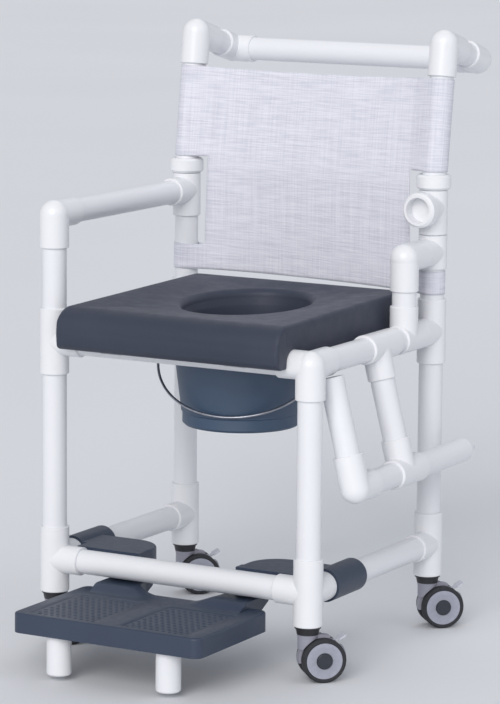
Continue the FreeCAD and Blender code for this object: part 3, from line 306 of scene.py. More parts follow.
def mesh_material():
    """Slub mesh: plain weave on the sheet's own metres, with thick and thin yarns both ways, and painted shade in
    the gaps between the yarns.
    """
    material, tree, shader = finish_material("sling_mesh", (0.66, 0.66, 0.71), 0.62,
                                             Sheen_Weight=0.12, Sheen_Roughness=0.5)
    pale = (0.88, 0.88, 0.945)
    dull = (0.62, 0.62, 0.71)
    weft = noise(tree, object_place(tree, (18.0, 420.0, 1.0), uv=True), 1.0, 3.0, 0.62)
    warp = noise(tree, object_place(tree, (360.0, 7.0, 1.0), uv=True), 1.0, 3.0, 0.60)
    broad = noise(tree, object_place(tree, (7.0, 90.0, 1.0), uv=True), 1.0, 2.0, 0.5)
    across = mixed(tree, spread(tree, weft, 0.39, 0.61), dull, pale)
    upward = mixed(tree, spread(tree, warp, 0.35, 0.66), dull, pale)
    cloth = mixed(tree, 0.42, across, upward)
    cloth = mixed(tree, spread(tree, broad, 0.35, 0.65, 0.0, 0.35), cloth, pale)
    # painted shade: the gaps between the yarns are painted darker
    part = node(tree, "ShaderNodeSeparateXYZ", Vector=object_place(tree, uv=True))
    wave_u = maths(tree, "SINE", maths(tree, "MULTIPLY", part.outputs["X"], TAU / YARN_WIDE))
    wave_v = maths(tree, "SINE", maths(tree, "MULTIPLY", part.outputs["Y"], TAU / YARN_HIGH))
    hole = spread(tree, maths(tree, "MAXIMUM", wave_u, wave_v), -0.9, -0.2, 0.55, 1.0)
    cloth = mixed(tree, 0.55, cloth, grey(tree, hole), "MULTIPLY")
    feed(tree, shader.inputs["Base Color"], cloth)
    weave = maths(tree, "MULTIPLY", wave_u, wave_v)
    height = maths(tree, "MULTIPLY_ADD", weave, 0.5, maths(tree, "ADD", weft, warp))
    bumped(tree, shader, height, 0.00025)
    return material


def thread_material():
    """Twisted sewing thread, a little lighter than the cloth."""
    material, tree, shader = finish_material("sewing_thread", (0.78, 0.78, 0.82), 0.6,
                                             Sheen_Weight=0.1)
    ply = noise(tree, object_place(tree), 2400.0, 2.0, 0.6)
    colour = mixed(tree, ply, (0.62, 0.62, 0.67), (0.84, 0.84, 0.87))
    feed(tree, shader.inputs["Base Color"], colour)
    bumped(tree, shader, ply, 0.0001)
    return material


plug_white = pipe_material("plug_white", (0.78, 0.785, 0.815), (0.76, 0.765, 0.80), 0.40)
footrest_plastic = moulded("footrest_plastic", (0.035, 0.050, 0.084), (0.040, 0.057, 0.093), 0.42,
                           grain=900.0, depth=0.00010, blotch=9.0)
seat_skin = skin_material()
sling_mesh = mesh_material()
sewing_thread = thread_material()
by_slot = {
    "pvc_pipe": pipe_material("pipe_white", (0.845, 0.85, 0.875), (0.830, 0.835, 0.862), 0.34),
    "pvc_fitting": pipe_material("fitting_white", (0.860, 0.865, 0.885), (0.845, 0.85, 0.872),
                                 0.30),
    "seat_board": moulded("board_plastic", (0.029, 0.035, 0.054), (0.035, 0.042, 0.063), 0.5,
                          grain=700.0, depth=0.0001),
    "clip_plastic": moulded("clip_plastic", (0.62, 0.63, 0.65), (0.58, 0.59, 0.62), 0.42,
                            grain=500.0, depth=0.00005),
    "pail_plastic": moulded("pail_plastic", (0.029, 0.066, 0.128), (0.035, 0.074, 0.141), 0.52,
                            grain=90.0, depth=0.00001, blotch=4.0, uneven=0.03,
                            Specular_IOR_Level=0.95),
    "caster_black": moulded("insert_black", (0.016, 0.016, 0.019), (0.024, 0.024, 0.028), 0.45,
                            grain=700.0, depth=0.0001, blotch=30.0),
    "brake_grey": moulded("brake_grey", (0.60, 0.61, 0.67), (0.56, 0.57, 0.63), 0.40,
                          grain=700.0, depth=0.0001, blotch=40.0),
    "bail_wire": wire_material(), "caster_grey": yoke_material(), "seat_skin": seat_skin,
    "sling_mesh": sling_mesh, "footrest_plastic": footrest_plastic}


def dress(name, material):
    """Give a solid of the chair its finish."""
    mesh = nodes[name].data
    if mesh.materials:
        for index in range(len(mesh.materials)):
            mesh.materials[index] = material
    else:
        mesh.materials.append(material)


for part in frame["record"]["subparts"]:
    if part["material_slot"] in by_slot:
        dress(part["node"], by_slot[part["material_slot"]])
dress("drop_arm_plug", plug_white)
joints = {joint["name"]: joint for joint in frame["joints"]}
for corner in ("front_right", "front_left", "back_right", "back_left"):
    roll = joints["roll_" + corner]
    turn = math.atan2(-roll["axis"][0], roll["axis"][1])
    dress("caster_wheels_" + corner,
          wheel_material("wheel_" + corner, Vector(roll["pos_m"]), turn))


# ---------------------------------------------------------------- seat cushion
SEAT_TAPER = 0.004         # half width lost from front to rear
SEAT_DEEP = 0.063          # from the top to the skirt's bottom edge
SEAT_ROLL = 0.009          # rounding of the side and rear edges
SEAT_NOSE = 0.038          # rounding of the front, from the top
LIP_ROUND = 0.016          # rounding of the front, from below
LIP_DROP = 0.014           # the front lip hangs this much below the skirt
LIP_BACK = FRONT_Y - 0.0259
SKIRT_THICK = 0.014
BEAD = 0.003               # rounding of the skirt's bottom edge
CORNER_FRONT = 0.007       # plan radius of the corners
CORNER_REAR = 0.014
SHOULDER_FRONT = 0.003     # and where the rounded edge meets the top
SHOULDER_REAR = 0.008
POCKET_CORNER = 0.002      # and inside the skirt
SIDE_BULGE = 0.001         # the sides swell this much at half height
NOSE_FALL = 0.005          # the top slopes down this much towards the nose
SIDE_SET = 0.030           # how much narrower the right-hand half is at the front, as a share
BOARD_GAP = 0.0004         # between the pad's underside and the board
HUB_ROOM = 0.02585         # the skirt's notch about the front rail's axis
HOLE_X = 0.107
HOLE_Y = 0.130
HOLE_FLARE = 0.013
HOLE_ROLL = 0.014
HOLE_MIDDLE = FRONT_Y + 0.227
DISH = 0.010               # the top falls this much to the rim of the hole
DISH_SPAN = (0.05, 1.15)   # the part of a smooth step that the dish follows
RIM_TILT = 0.0025          # the rim is this much higher at the rear and lower at the front
COLLAR_X = 0.1025          # the skin goes down through the board as a collar of this size
COLLAR_Y = 0.1275
COLLAR_THICK = 0.0018
COLLAR_FOOT = 0.5095       # just above the pail's rim
FOOT_SHARE = 0.78          # where the skirt's flat bottom ends, from its outer to its inner face
DISH_CROWD = 1.6           # power that crowds the dish's rings towards the shoulder
NOSE_ANGLES = (0.68, 1.33)  # the nose's quarter circle has points of its own between these
NOTCH_ANGLE = 0.06         # left free at both ends of the notch's half circle
HUB_MARGIN = 0.002         # evenly spaced points on a side start this far behind the notch
REAR_MARGIN = 0.016        # and stop this far from the rear
ARC_POINTS = 14            # of the plan outline, on each corner
EDGE_POINTS = 60           # and on its front and its rear edge
LEAST_STEP = 1e-4          # between two points on a side


def seat_outline(front_half, rear_half, y_front, y_rear, radii, side_y):
    """Tapered plan outline with round corners and the same count of points every time.

    Each corner is an arc tangent to its two edges. Points on the two sides stand at the places
    side_y along the seat, held between their arcs; points on the front and rear edges are evenly
    spaced.
    """
    corners = np.array([(front_half, y_front), (rear_half, y_rear),
                        (-rear_half, y_rear), (-front_half, y_front)])
    before = np.roll(corners, 1, 0) - corners
    after = np.roll(corners, -1, 0) - corners
    before /= np.linalg.norm(before, axis=1)[:, None]
    after /= np.linalg.norm(after, axis=1)[:, None]
    half = np.arccos((before * after).sum(1)) / 2.0
    middle = before + after
    middle /= np.linalg.norm(middle, axis=1)[:, None]
    radii = np.array(radii)
    centre = corners + middle * (radii / np.sin(half))[:, None]
    sweep = np.linspace(-1.0, 1.0, ARC_POINTS)[None, :] * (QUARTER - half)[:, None]
    facing = np.arctan2(-middle[:, 1], -middle[:, 0])[:, None] + sweep
    spokes = np.stack([np.cos(facing), np.sin(facing)], -1)
    arc = centre[:, None, :] + radii[:, None, None] * spokes
    step = LEAST_STEP * np.arange(1, len(side_y) + 1)
    y = np.minimum(np.maximum(side_y, arc[0, -1, 1] + step), arc[1, 0, 1] - step[::-1])
    slope = (arc[1, 0] - arc[0, -1]) / (arc[1, 0, 1] - arc[0, -1, 1])
    side = arc[0, -1] + slope * (y - arc[0, -1, 1])[:, None]
    share = np.linspace(0.0, 1.0, EDGE_POINTS + 2)[1:-1, None]
    rear = arc[1, -1] * (1 - share) + arc[2, 0] * share
    front = arc[3, -1] * (1 - share) + arc[0, 0] * share
    other_side = side[::-1] * (-1, 1)
    return np.concatenate([arc[0], side, arc[1], rear, arc[2], other_side, arc[3], front])


def seat_cushion():
    """Ring-shaped pad: one profile carried round the outline and the oval hole, closed on itself.

    At each place the profile runs under the pad from the collar to the skirt, down the skirt's
    inner face, under its bottom edge, up the outer face, over a small quarter circle to the top,
    down a smooth dish to the hole's rim, over a quarter ellipse into the hole, and down as a thin
    collar inside the board. The skirt is notched by a circle about the front rail where the rail's
    hubs pass. Heights near the front are then drawn in between two quarter circles, a large one
    from the top and a smaller one from the lip, which makes the nose one profile along the front.
    """
    y_front, y_rear = seat_low.y, seat_high.y
    top = seat_high.z
    skirt = top - SEAT_DEEP
    lip = skirt - LIP_DROP
    under = board_top + BOARD_GAP
    lean = SEAT_TAPER / (y_rear - y_front)
    # points on a side: down the nose, close about the lip's end, over the hub, then evenly
    side_y = np.concatenate([
        y_front + SEAT_NOSE * (1.0 - np.cos(np.linspace(*NOSE_ANGLES, 9))),
        [LIP_BACK - LEAST_STEP, LIP_BACK + LEAST_STEP],
        FRONT_Y - HUB_ROOM * np.cos(np.linspace(NOTCH_ANGLE, math.pi - NOTCH_ANGLE, 26)),
        np.linspace(FRONT_Y + HUB_ROOM + HUB_MARGIN, y_rear - REAR_MARGIN, 56)])

    def outline(inset, corner_front, corner_rear, front=None):
        """The plan drawn in by inset, and by front along its front edge if that differs."""
        front = inset if front is None else front
        return seat_outline(seat_high.x - inset - lean * front,
                            seat_high.x - SEAT_TAPER - inset + lean * inset,
                            y_front + front, y_rear - inset,
                            (corner_front, corner_rear, corner_rear, corner_front), side_y)

    edge = outline(0.0, CORNER_FRONT, CORNER_REAR)
    foot = outline(BEAD, CORNER_FRONT - BEAD, CORNER_REAR - BEAD)
    pocket = outline(SKIRT_THICK, POCKET_CORNER, POCKET_CORNER, LIP_BACK - y_front)
    shoulder = outline(SEAT_ROLL, SHOULDER_FRONT, SHOULDER_REAR)
    tangent = np.roll(edge, -1, 0) - np.roll(edge, 1, 0)
    normal = np.stack([tangent[:, 1], -tangent[:, 0]], -1)
    normal /= np.linalg.norm(normal, axis=1)[:, None]
    # the front edge has no rounding of its own: the nose gives it
    plain = 1.0 - smoothstep(-normal[:, 1], 0.3, 1.0)
    bead, roll = BEAD * plain, SEAT_ROLL * plain
    # bottom edge: the lip ahead of the hubs, the notch over them, then the skirt
    offset = np.clip(np.abs(edge[:, 1] - FRONT_Y), 0.0, HUB_ROOM)
    low = np.maximum(skirt, RAIL_Z + np.sqrt(HUB_ROOM ** 2 - offset ** 2))
    low = np.where(edge[:, 1] < LIP_BACK, lip, np.where(offset < HUB_ROOM, low, skirt))
    angle = np.arctan2(edge[:, 1] - HOLE_MIDDLE, edge[:, 0])
    around = np.stack([np.cos(angle), np.sin(angle)], -1)

    def oval(half_x, half_y):
        """An oval about the hole's middle, with one point towards each point of the outline."""
        return np.array([0.0, HOLE_MIDDLE]) + around * (half_x, half_y)

    def ring(flat, height):
        """A plan curve at one height, or at a height for each of its points."""
        return np.column_stack([flat, np.broadcast_to(height, len(flat))])

    hole = oval(HOLE_X, HOLE_Y)
    mouth = oval(HOLE_X + HOLE_FLARE, HOLE_Y + HOLE_FLARE)
    collar = oval(COLLAR_X, COLLAR_Y)
    sleeve = oval(COLLAR_X + COLLAR_THICK, COLLAR_Y + COLLAR_THICK)
    rim = top - DISH + RIM_TILT * np.sin(angle)
    # under the pad, and down inside the skirt
    rings = [ring(between(sleeve, pocket, t), under) for t in np.linspace(0.0, 1.0, 6)]
    rings += [ring(pocket, between(under, low + BEAD, t)) for t in (0.2, 0.5, 0.8, 0.94)]
    # round the skirt's bottom edge
    for t in np.linspace(0.0, QUARTER, 5):
        share = 1.0 - (BEAD / SKIRT_THICK) * (1.0 - math.cos(t))
        rings.append(ring(between(edge, pocket, share), low + BEAD * (1.0 - math.sin(t))))
    inner_foot = between(edge, pocket, FOOT_SHARE)
    rings += [ring(between(foot, inner_foot, t), low) for t in (0.8, 0.6, 0.42, 0.27, 0.13)]
    for t in np.linspace(QUARTER, math.pi, 6):
        flat = between(edge, foot, 1.0 + math.cos(t))
        rings.append(ring(flat, low + bead * (1.0 - math.sin(t))))
    # up the outer face and over the edge
    start, stop = low + bead, top - roll
    for t in np.linspace(0.08, 0.95, 12):
        flat = edge + normal * SIDE_BULGE * math.sin(math.pi * t)
        rings.append(ring(flat, between(start, stop, t)))
    for t in np.linspace(0.0, QUARTER, 14):
        flat = between(edge, shoulder, 1.0 - math.cos(t))
        rings.append(ring(flat, stop + roll * math.sin(t)))
    # across the dish, into the hole and down the collar, inside and outside
    for t in np.linspace(0.0, 1.0, 28)[1:-1] ** DISH_CROWD:
        fall = smoothstep(t, *DISH_SPAN) / smoothstep(1.0, *DISH_SPAN)
        rings.append(ring(between(shoulder, mouth, t), between(top, rim, fall)))
    for t in np.linspace(0.0, QUARTER, 12):
        flat = between(mouth, hole, math.sin(t))
        rings.append(ring(flat, rim - HOLE_ROLL * (1.0 - math.cos(t))))
    for t in np.linspace(0.0, 1.0, 9)[1:]:
        rings.append(ring(between(hole, collar, t), between(rim - HOLE_ROLL, under, t)))
    rings += [ring(collar, between(under, COLLAR_FOOT, t)) for t in (0.25, 0.5, 0.75, 1.0)]
    rings += [ring(sleeve, between(under, COLLAR_FOOT, t)) for t in (1.0, 0.75, 0.5, 0.25)]
    points = np.stack(rings)
    # the nose: heights at each place along the seat run between the two quarter circles
    y, z = points[..., 1], points[..., 2]
    crown = fillet(y_front + SEAT_NOSE - y, SEAT_NOSE)
    heel = fillet(y_front + LIP_ROUND - y, LIP_ROUND)
    share = (z - lip) / (top - lip)
    fall = np.interp(y, [y_front + SEAT_NOSE, y_rear], [-NOSE_FALL, 0.0])
    points[..., 2] = z + heel * (1.0 - share) + (fall - crown) * share
    narrow = 1.0 - SIDE_SET * np.clip((y_rear - y) / (y_rear - y_front), 0.0, 1.0)
    points[..., 0] *= np.where(points[..., 0] < 0.0, narrow, 1.0)
    quads = grid_quads(len(rings), len(edge), wrap_rows=True, wrap_cols=True)
    piece = mesh_piece("seat_pad", points, quads.tolist())
    piece.data.materials.append(seat_skin)
    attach(piece, "seat")
    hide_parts("seat_cushion")


seat_cushion()


# ---------------------------------------------------------------- back sling
# A climb is a height along the back, measured from the knee.
SLEEVE_R = PIPE_R + 0.0012
SHEET_T = 0.0011
STRAP_LOW = sling_foot - KNEE_Z
STRAP_TOP = STRAP_LOW + 0.040
SLEEVE_LOW = 0.0181
SLEEVE_TOP = 0.179
CUT_LOW = 0.041            # the arm cut-outs reach this far in from the posts' axes, at their foot
CUT_TOP = 0.046            # and at their top
HANG_RIGHT = 0.0070        # the straps sit higher on the right post and lower on the left one
HANG_LEFT = -0.0030
HANG_WIDER = 0.0055        # the right strap is this much wider at its top
HANG_FADE = 0.12           # climb above the straps over which this fades out
SEAM_LAP = 0.010
SEAM_FORE = 0.005          # the panel comes this much forward at its seams
PANEL_SAG = 0.004          # and lies this much back in the middle
HEM_DIP = 0.0025           # the hems curve in by this much in the middle
HEM_FADE_TOP = 0.12        # over this climb from the top hem, and this one from the bottom hem
HEM_FADE_LOW = 0.06
LEVEL_BELOW = 0.03         # the sleeves' foot is level, fading over these climbs below and above
LEVEL_ABOVE = 0.05
KNEE_EASE = 0.012          # half the length of the bend at the knee
SLEEVE_POINTS = 30         # on the round part of a sleeve
PANEL_POINTS = 90
STRAP_ROWS = 9
PANEL_ROWS = 42
SLEEVE_ROWS = 36
STITCH_PITCH = 0.0042
STITCH_RISE = 0.0008       # height of the stitches over the middle of the sheet
STITCH_ARCH = 0.0002
STITCH_HALF_WIDE = 0.00035
STITCH_HALF_THICK = 0.00028
STITCH_STEPS = 5
SEAM_ROWS = (0.003, 0.0075)  # the two rows of a seam, from the edge of the cut-out
SEAM_END = 0.003           # seams stop this far from a hem
HEM_TOP = 0.012            # rows of stitches along the hems, from their edges
HEM_LOW = 0.010


def back_place(x, depth, climb):
    """Point on the back: upright below the knee, leaned above it, with a short smooth bend between.

    The lean starts as a parabola over the bend. depth is behind the sheet's own plane.
    """
    bend = (climb + KNEE_EASE) ** 2 / (4.0 * KNEE_EASE)
    soft = np.where(np.abs(climb) < KNEE_EASE, bend, np.maximum(climb, 0.0))
    tilt = LEAN * smoothstep(climb, -KNEE_EASE, KNEE_EASE)
    y = BACK_Y + soft * math.sin(LEAN) + depth * np.cos(tilt)
    z = KNEE_Z + climb - soft * (1.0 - math.cos(LEAN)) - depth * np.sin(tilt)
    return np.stack(np.broadcast_arrays(x, y, z), -1)


def settled(x, depth, climb):
    """Climb after the sling has settled: straps a little askew, sleeves level at their foot.

    The straps' shift runs evenly from one post to the other and fades out above them; the foot of
    the upper sleeves is turned level by the depth times the tangent of the lean, fading in over
    LEVEL_BELOW and out over LEVEL_ABOVE.
    """
    side = np.clip(0.5 - x / (2.0 * HALF_WIDE), 0.0, 1.0)
    right = HANG_RIGHT + HANG_WIDER * smoothstep(climb, STRAP_LOW, STRAP_TOP)
    fade = 1.0 - smoothstep(climb, STRAP_TOP, STRAP_TOP + HANG_FADE)
    askew = between(HANG_LEFT, right, side) * fade
    foot = (smoothstep(climb, SLEEVE_LOW - LEVEL_BELOW, SLEEVE_LOW)
            * (1.0 - smoothstep(climb, SLEEVE_LOW, SLEEVE_LOW + LEVEL_ABOVE)))
    return climb + askew + depth * math.tan(LEAN) * foot


def cut_reach(climb):
    """How far in from the posts' axes the panel's seam lies at a climb."""
    return np.interp(climb, [STRAP_TOP, SLEEVE_LOW], [CUT_LOW, CUT_TOP])


def panel_depth(share):
    """Depth of the panel from seam (-1) to seam (1): a parabola less a sixth power."""
    return PANEL_SAG * (1.0 - share ** 2) - SEAM_FORE * share ** 6


def sleeve_path(reach):
    """Teardrop round a post, seen from above, from its rear seam to the front of the sheet.

    Two straight runs leave the seam at reach from the post's axis and touch the circle of the
    sleeve; the arc between them goes round the far side of the post. Distances are from the post's
    axis, inwards and backwards.
    """
    seam = np.array([reach, panel_depth(1.0)])
    lean = math.atan2(seam[1], seam[0])
    touch = math.acos(SLEEVE_R / np.linalg.norm(seam))
    inward = np.array([SEAM_LAP, SEAM_LAP / 2, 0.001])
    half = HALF_WIDE - reach
    lap = np.stack([reach + inward, panel_depth((half - inward) / half) + SHEET_T], -1)
    bend = np.linspace(lean + touch, lean + TAU - touch, SLEEVE_POINTS)
    arc = SLEEVE_R * np.stack([np.cos(bend), np.sin(bend)], -1)
    share = np.linspace(0.15, 0.85, 4)[:, None]
    out = (seam + (0.0, SHEET_T)) * (1 - share) + arc[0] * share
    back = arc[-1] * (1 - share) + seam * share
    return np.vstack([lap, out, arc, back])


def back_sling():
    """Woven back: one sheet whose rows climb the posts and whose columns go round both sleeves.

    Each row is a teardrop round one post, a taut panel and a mirrored teardrop. Rows between the
    straps and the upper sleeves keep only the panel, which leaves the two arm cut-outs. Returns
    the piece, its flat width and length and its area.
    """
    strap = np.linspace(STRAP_LOW, STRAP_TOP, STRAP_ROWS)
    middle = np.linspace(STRAP_TOP, SLEEVE_LOW, PANEL_ROWS + 2)[1:-1]
    upper = np.linspace(SLEEVE_LOW, SLEEVE_TOP, SLEEVE_ROWS)
    climb = np.concatenate([strap, middle, upper])
    open_row = np.zeros(len(climb), bool)
    open_row[len(strap) - 1:len(strap) + len(middle)] = True
    share = np.linspace(-1.0, 1.0, PANEL_POINTS)
    rows = []
    for height, reach in zip(climb, cut_reach(climb)):
        loop = sleeve_path(reach)
        x = np.concatenate([loop[:, 0] - HALF_WIDE, share * (HALF_WIDE - reach),
                            (HALF_WIDE - loop[:, 0])[::-1]])
        depth = np.concatenate([loop[:, 1], panel_depth(share), loop[::-1, 1]])
        bow = np.pad(1 - share ** 2, len(loop))
        hem = (smoothstep(height, SLEEVE_TOP - HEM_FADE_TOP, SLEEVE_TOP)
               - smoothstep(-height, -STRAP_LOW - HEM_FADE_LOW, -STRAP_LOW))
        rows.append(back_place(x, depth, settled(x, depth, height) - HEM_DIP * bow * hem))
    points = np.stack(rows)
    run = np.linalg.norm(np.diff(points, axis=1), axis=2)
    along = np.concatenate([np.zeros((len(climb), 1)), np.cumsum(run, 1)], 1)
    along -= along[:, -1:] / 2.0
    uv = np.stack([along, np.broadcast_to(climb[:, None], along.shape)], -1)
    cols = points.shape[1]
    loop_count = (cols - PANEL_POINTS) // 2
    quads = grid_quads(len(climb), cols)
    row_of = quads[:, 0] // cols
    col_of = quads[:, 0] % cols
    in_panel = (col_of >= loop_count) & (col_of < loop_count + PANEL_POINTS - 1)
    used, quads = np.unique(quads[in_panel | ~open_row[row_of]], return_inverse=True)
    quads = quads.reshape(-1, 4)
    verts = points.reshape(-1, 3)[used]
    piece = mesh_piece("back_sheet", verts, quads.tolist(), uv.reshape(-1, 2)[used])
    thick = piece.modifiers.new("thickness", "SOLIDIFY")
    thick.thickness = SHEET_T
    thick.offset = 0.0
    piece.data.materials.append(sling_mesh)
    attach(piece, "frame")
    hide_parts("back_sling")
    corner = verts[quads]
    diagonals = np.cross(corner[:, 2] - corner[:, 0], corner[:, 3] - corner[:, 1])
    area = 0.5 * np.linalg.norm(diagonals, axis=1).sum()
    width = along[-1, -1] - along[-1, 0]
    return piece, float(width), float(climb[-1] - climb[0]), float(area)


def tube_strip(path, facing, half_wide, half_thick, sides=6):
    """Small flattened tubes: an ellipse carried along each path, drawn in and closed at both ends.

    path is (pieces, steps, 3), facing the outward direction; returns points and faces.
    """
    pieces, steps = path.shape[:2]
    ahead = np.gradient(path, axis=1)
    ahead /= np.linalg.norm(ahead, axis=2)[..., None]
    out = np.broadcast_to(facing, path.shape)
    side = np.cross(ahead, out)
    turn = np.linspace(0.0, TAU, sides, endpoint=False)
    ring = (side[:, :, None, :] * (half_wide * np.cos(turn))[None, None, :, None]
            + out[:, :, None, :] * (half_thick * np.sin(turn))[None, None, :, None])
    taper = np.sin(np.linspace(0.12, math.pi - 0.12, steps)) ** 0.5
    points = path[:, :, None, :] + ring * taper[None, :, None, None]
    one = np.concatenate([grid_quads(steps, sides, wrap_cols=True)[:, ::-1], ring_cap(sides),
                          ring_cap(sides)[:, ::-1] + (steps - 1) * sides])
    return points, repeated(one, pieces, steps * sides)


def stitch_line(start, end):
    """Row of arched stitches between two (x, climb) ends on the front of the sheet."""
    start, end = np.array(start), np.array(end)
    count = max(int(np.linalg.norm(end - start) / STITCH_PITCH), 1)
    first = np.arange(count) / count
    inner = np.linspace(0.08, 0.86, STITCH_STEPS) / count
    x, climb = np.moveaxis(between(start, end, (first[:, None] + inner)[..., None]), -1, 0)
    arch = np.sin(np.linspace(0.0, math.pi, STITCH_STEPS)) * STITCH_ARCH
    depth = panel_depth(x / (HALF_WIDE - cut_reach(climb))) - STITCH_RISE - arch
    return back_place(x, depth, settled(x, 0.0, climb))


def sling_seams():
    """Sewn seams: two rows up each side of the panel, and one row along the top and bottom hems."""
    lines = []
    for side in (-1, 1):
        for step in SEAM_ROWS:
            upper_x = side * (HALF_WIDE - CUT_TOP - step)
            lower_x = side * (HALF_WIDE - CUT_LOW - step)
            seams = (((upper_x, SLEEVE_LOW + SEAM_END), (upper_x, SLEEVE_TOP - SEAM_END)),
                     ((lower_x, STRAP_LOW + SEAM_END), (lower_x, STRAP_TOP - SEAM_END)),
                     ((lower_x, STRAP_TOP), (upper_x, SLEEVE_LOW)))
            lines += [stitch_line(start, end) for start, end in seams]
    reach = HALF_WIDE - CUT_TOP - SEAM_LAP
    lines += [stitch_line((-reach, climb), (reach, climb))
              for climb in (SLEEVE_TOP - HEM_TOP, STRAP_LOW + HEM_LOW)]
    points, faces = tube_strip(np.concatenate(lines), np.array([0.0, -1.0, 0.0]),
                               STITCH_HALF_WIDE, STITCH_HALF_THICK)
    piece = mesh_piece("sling_stitches", points, faces)
    piece.data.materials.append(sewing_thread)
    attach(piece, "frame")
    return piece


back_sheet, sheet_wide, sheet_long, sheet_area = back_sling()
stitches = sling_seams()


# ---------------------------------------------------------------- footrest deck and tread
PLATE_TOP = 0.113
PLATE_HALF = 0.181
PLATE_ROUND = 0.004
PLATE_CORNER = 0.016
PLATE_REAR = FRONT_Y - 0.0095
NECK_IN = 0.080            # the necks pass under the front rail between these x from the middle
NECK_OUT = 0.148
NECK_END = FRONT_Y + 0.0255
NECK_RISE = 0.0121
NECK_FLARE = 0.036         # the rise starts at this x from the middle
NECK_FULL = 0.084          # and is full from here on
RISE_START = -0.278
RISE_CREST = -0.248
SCOOP_R = 0.028            # round inner corners between the plate and its necks
DECK_LIFT = 0.0001         # the deck lies this much over the plate
DECK_INSET = 0.0002        # and this much inside its edges
DECK_FOOT = 0.1088         # underside of the deck, inside the plate
DECK_SHARP = math.radians(50.0)
TREAD_X = (0.027, 0.152)   # each foot area, from the middle outwards
TREAD_Y = (-0.452, -0.298)
TREAD_DEEP = 0.0008
TREAD_FLOOR = PLATE_TOP - 0.0006
TREAD_SLOPE = 0.0005       # half the width of a foot area's sloped edge
DOT_PITCH = 0.0115         # between two dots of a row
DOT_ROW = 0.8 * DOT_PITCH  # between two rows
DOT_MARGIN = 0.006         # from the edge of the foot area to the first dot
DOT_R = 0.0036
DOT_RISE = 0.0011
DOT_FLAT = 0.0002          # radius of the dot's flat top
DOT_SINK = 0.0002          # dots start this much below the tread's floor
DOT_RINGS = 4
DOT_SIDES = 8


def sunk(value, span):
    """1 inside a span, 0 outside it, with a straight slope at each end."""
    ends = np.add.outer(span, (-TREAD_SLOPE, TREAD_SLOPE)).ravel()
    return np.interp(value, ends, [0, 1, 1, 0])


def footrest_deck():
    """Top of the footrest: one height over its plan, closed below by a flat sheet in the plate.

    The height is the plate's top, plus the rise to the necks (a smooth step backwards times a
    smooth flare sideways), less a shallow sunk tread on each side, less a quarter circle along the
    rear edge. The plan is a rectangle with round corners; its rear edge swings out in a quarter
    circle to each neck. Columns run from one side to the other, rows from the front to the rear
    edge and then on along the necks.
    """
    half = PLATE_HALF - PLATE_ROUND - DECK_INSET
    corner = PLATE_CORNER - PLATE_ROUND
    front = plate_front + PLATE_ROUND + DECK_INSET
    wall = NECK_OUT - DECK_INSET
    quarter = np.sin(np.linspace(0.0, QUARTER, 8))
    tread_x = np.add.outer(TREAD_X, (-TREAD_SLOPE, TREAD_SLOPE))
    tread_y = np.add.outer(TREAD_Y, (-TREAD_SLOPE, TREAD_SLOPE))
    # columns from the middle out to the neck's outer wall, then from that wall to the plate's side,
    # and rows from front to rear: close where the height bends, with a few more in the flat parts
    inner = np.concatenate([[0.0, 0.012], tread_x[0], np.linspace(NECK_FLARE, NECK_FULL, 25),
                            np.linspace(0.092, wall, 8)])
    outer = np.concatenate([[wall], tread_x[1], half - corner + corner * quarter])
    x = np.concatenate([inner, outer])
    on_neck = np.arange(len(x)) < len(inner)
    x = np.concatenate([-x[:0:-1], x])
    on_neck = np.concatenate([on_neck[:0:-1], on_neck])[:, None]
    away = np.abs(x)[:, None]
    turn_in = fillet(away - half + corner, corner)
    scoop = PLATE_REAR + fillet(away - NECK_IN + SCOOP_R, SCOOP_R)
    neck_rear = np.where(away < NECK_IN, scoop, NECK_END)
    rear = np.where(on_neck, neck_rear, PLATE_REAR - turn_in)
    level = np.minimum(rear, PLATE_REAR)
    rows = np.sort(np.concatenate([
        front + corner - corner * quarter, tread_y[0], np.linspace(-0.44, -0.31, 6), tread_y[1],
        [-0.288], np.linspace(RISE_START, RISE_CREST, 17), [-0.242],
        PLATE_REAR - PLATE_ROUND + PLATE_ROUND * quarter]))
    plate_y = np.clip(rows[None, :], front + turn_in, level)
    neck_y = between(level, rear, np.sin(np.linspace(0.0, QUARTER, 14))[None, 1:])
    y = np.concatenate([plate_y, neck_y], 1)
    flare = smoothstep(away, NECK_FLARE, NECK_FULL) * on_neck
    rise = smoothstep(y, RISE_START, RISE_CREST) * flare
    edge = fillet(PLATE_ROUND - (rear - y), PLATE_ROUND) * ((away < NECK_IN) | ~on_neck)
    tread = TREAD_DEEP * sunk(away, TREAD_X) * sunk(y, TREAD_Y)
    z = PLATE_TOP + DECK_LIFT + NECK_RISE * rise - tread - edge
    over = np.stack([np.broadcast_to(x[:, None], y.shape), y, z], -1)
    below = over * (1, 1, 0) + (0, 0, DECK_FOOT)
    # top, underside and the walls round the rim, with coinciding points welded
    cols, count = y.shape
    index = np.arange(y.size).reshape(cols, count)
    rim = np.concatenate([index[:-1, 0], index[-1, :-1], index[:0:-1, -1], index[0, :0:-1]])
    following = np.roll(rim, -1)
    top = grid_quads(cols, count)[:, ::-1]
    walls = np.stack([rim, rim + y.size, following + y.size, following], -1)
    quads = np.concatenate([top, top[:, ::-1] + y.size, walls])
    both = np.concatenate([over.reshape(-1, 3), below.reshape(-1, 3)]).round(7)
    points, welded = np.unique(both, axis=0, return_inverse=True)
    faces = [list(dict.fromkeys(face)) for face in welded.reshape(-1)[quads].tolist()]
    piece = mesh_piece("footrest_deck", points, [face for face in faces if len(face) > 2])
    piece.data.set_sharp_from_angle(angle=DECK_SHARP)
    piece.data.materials.append(footrest_plastic)
    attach(piece, "footrest")


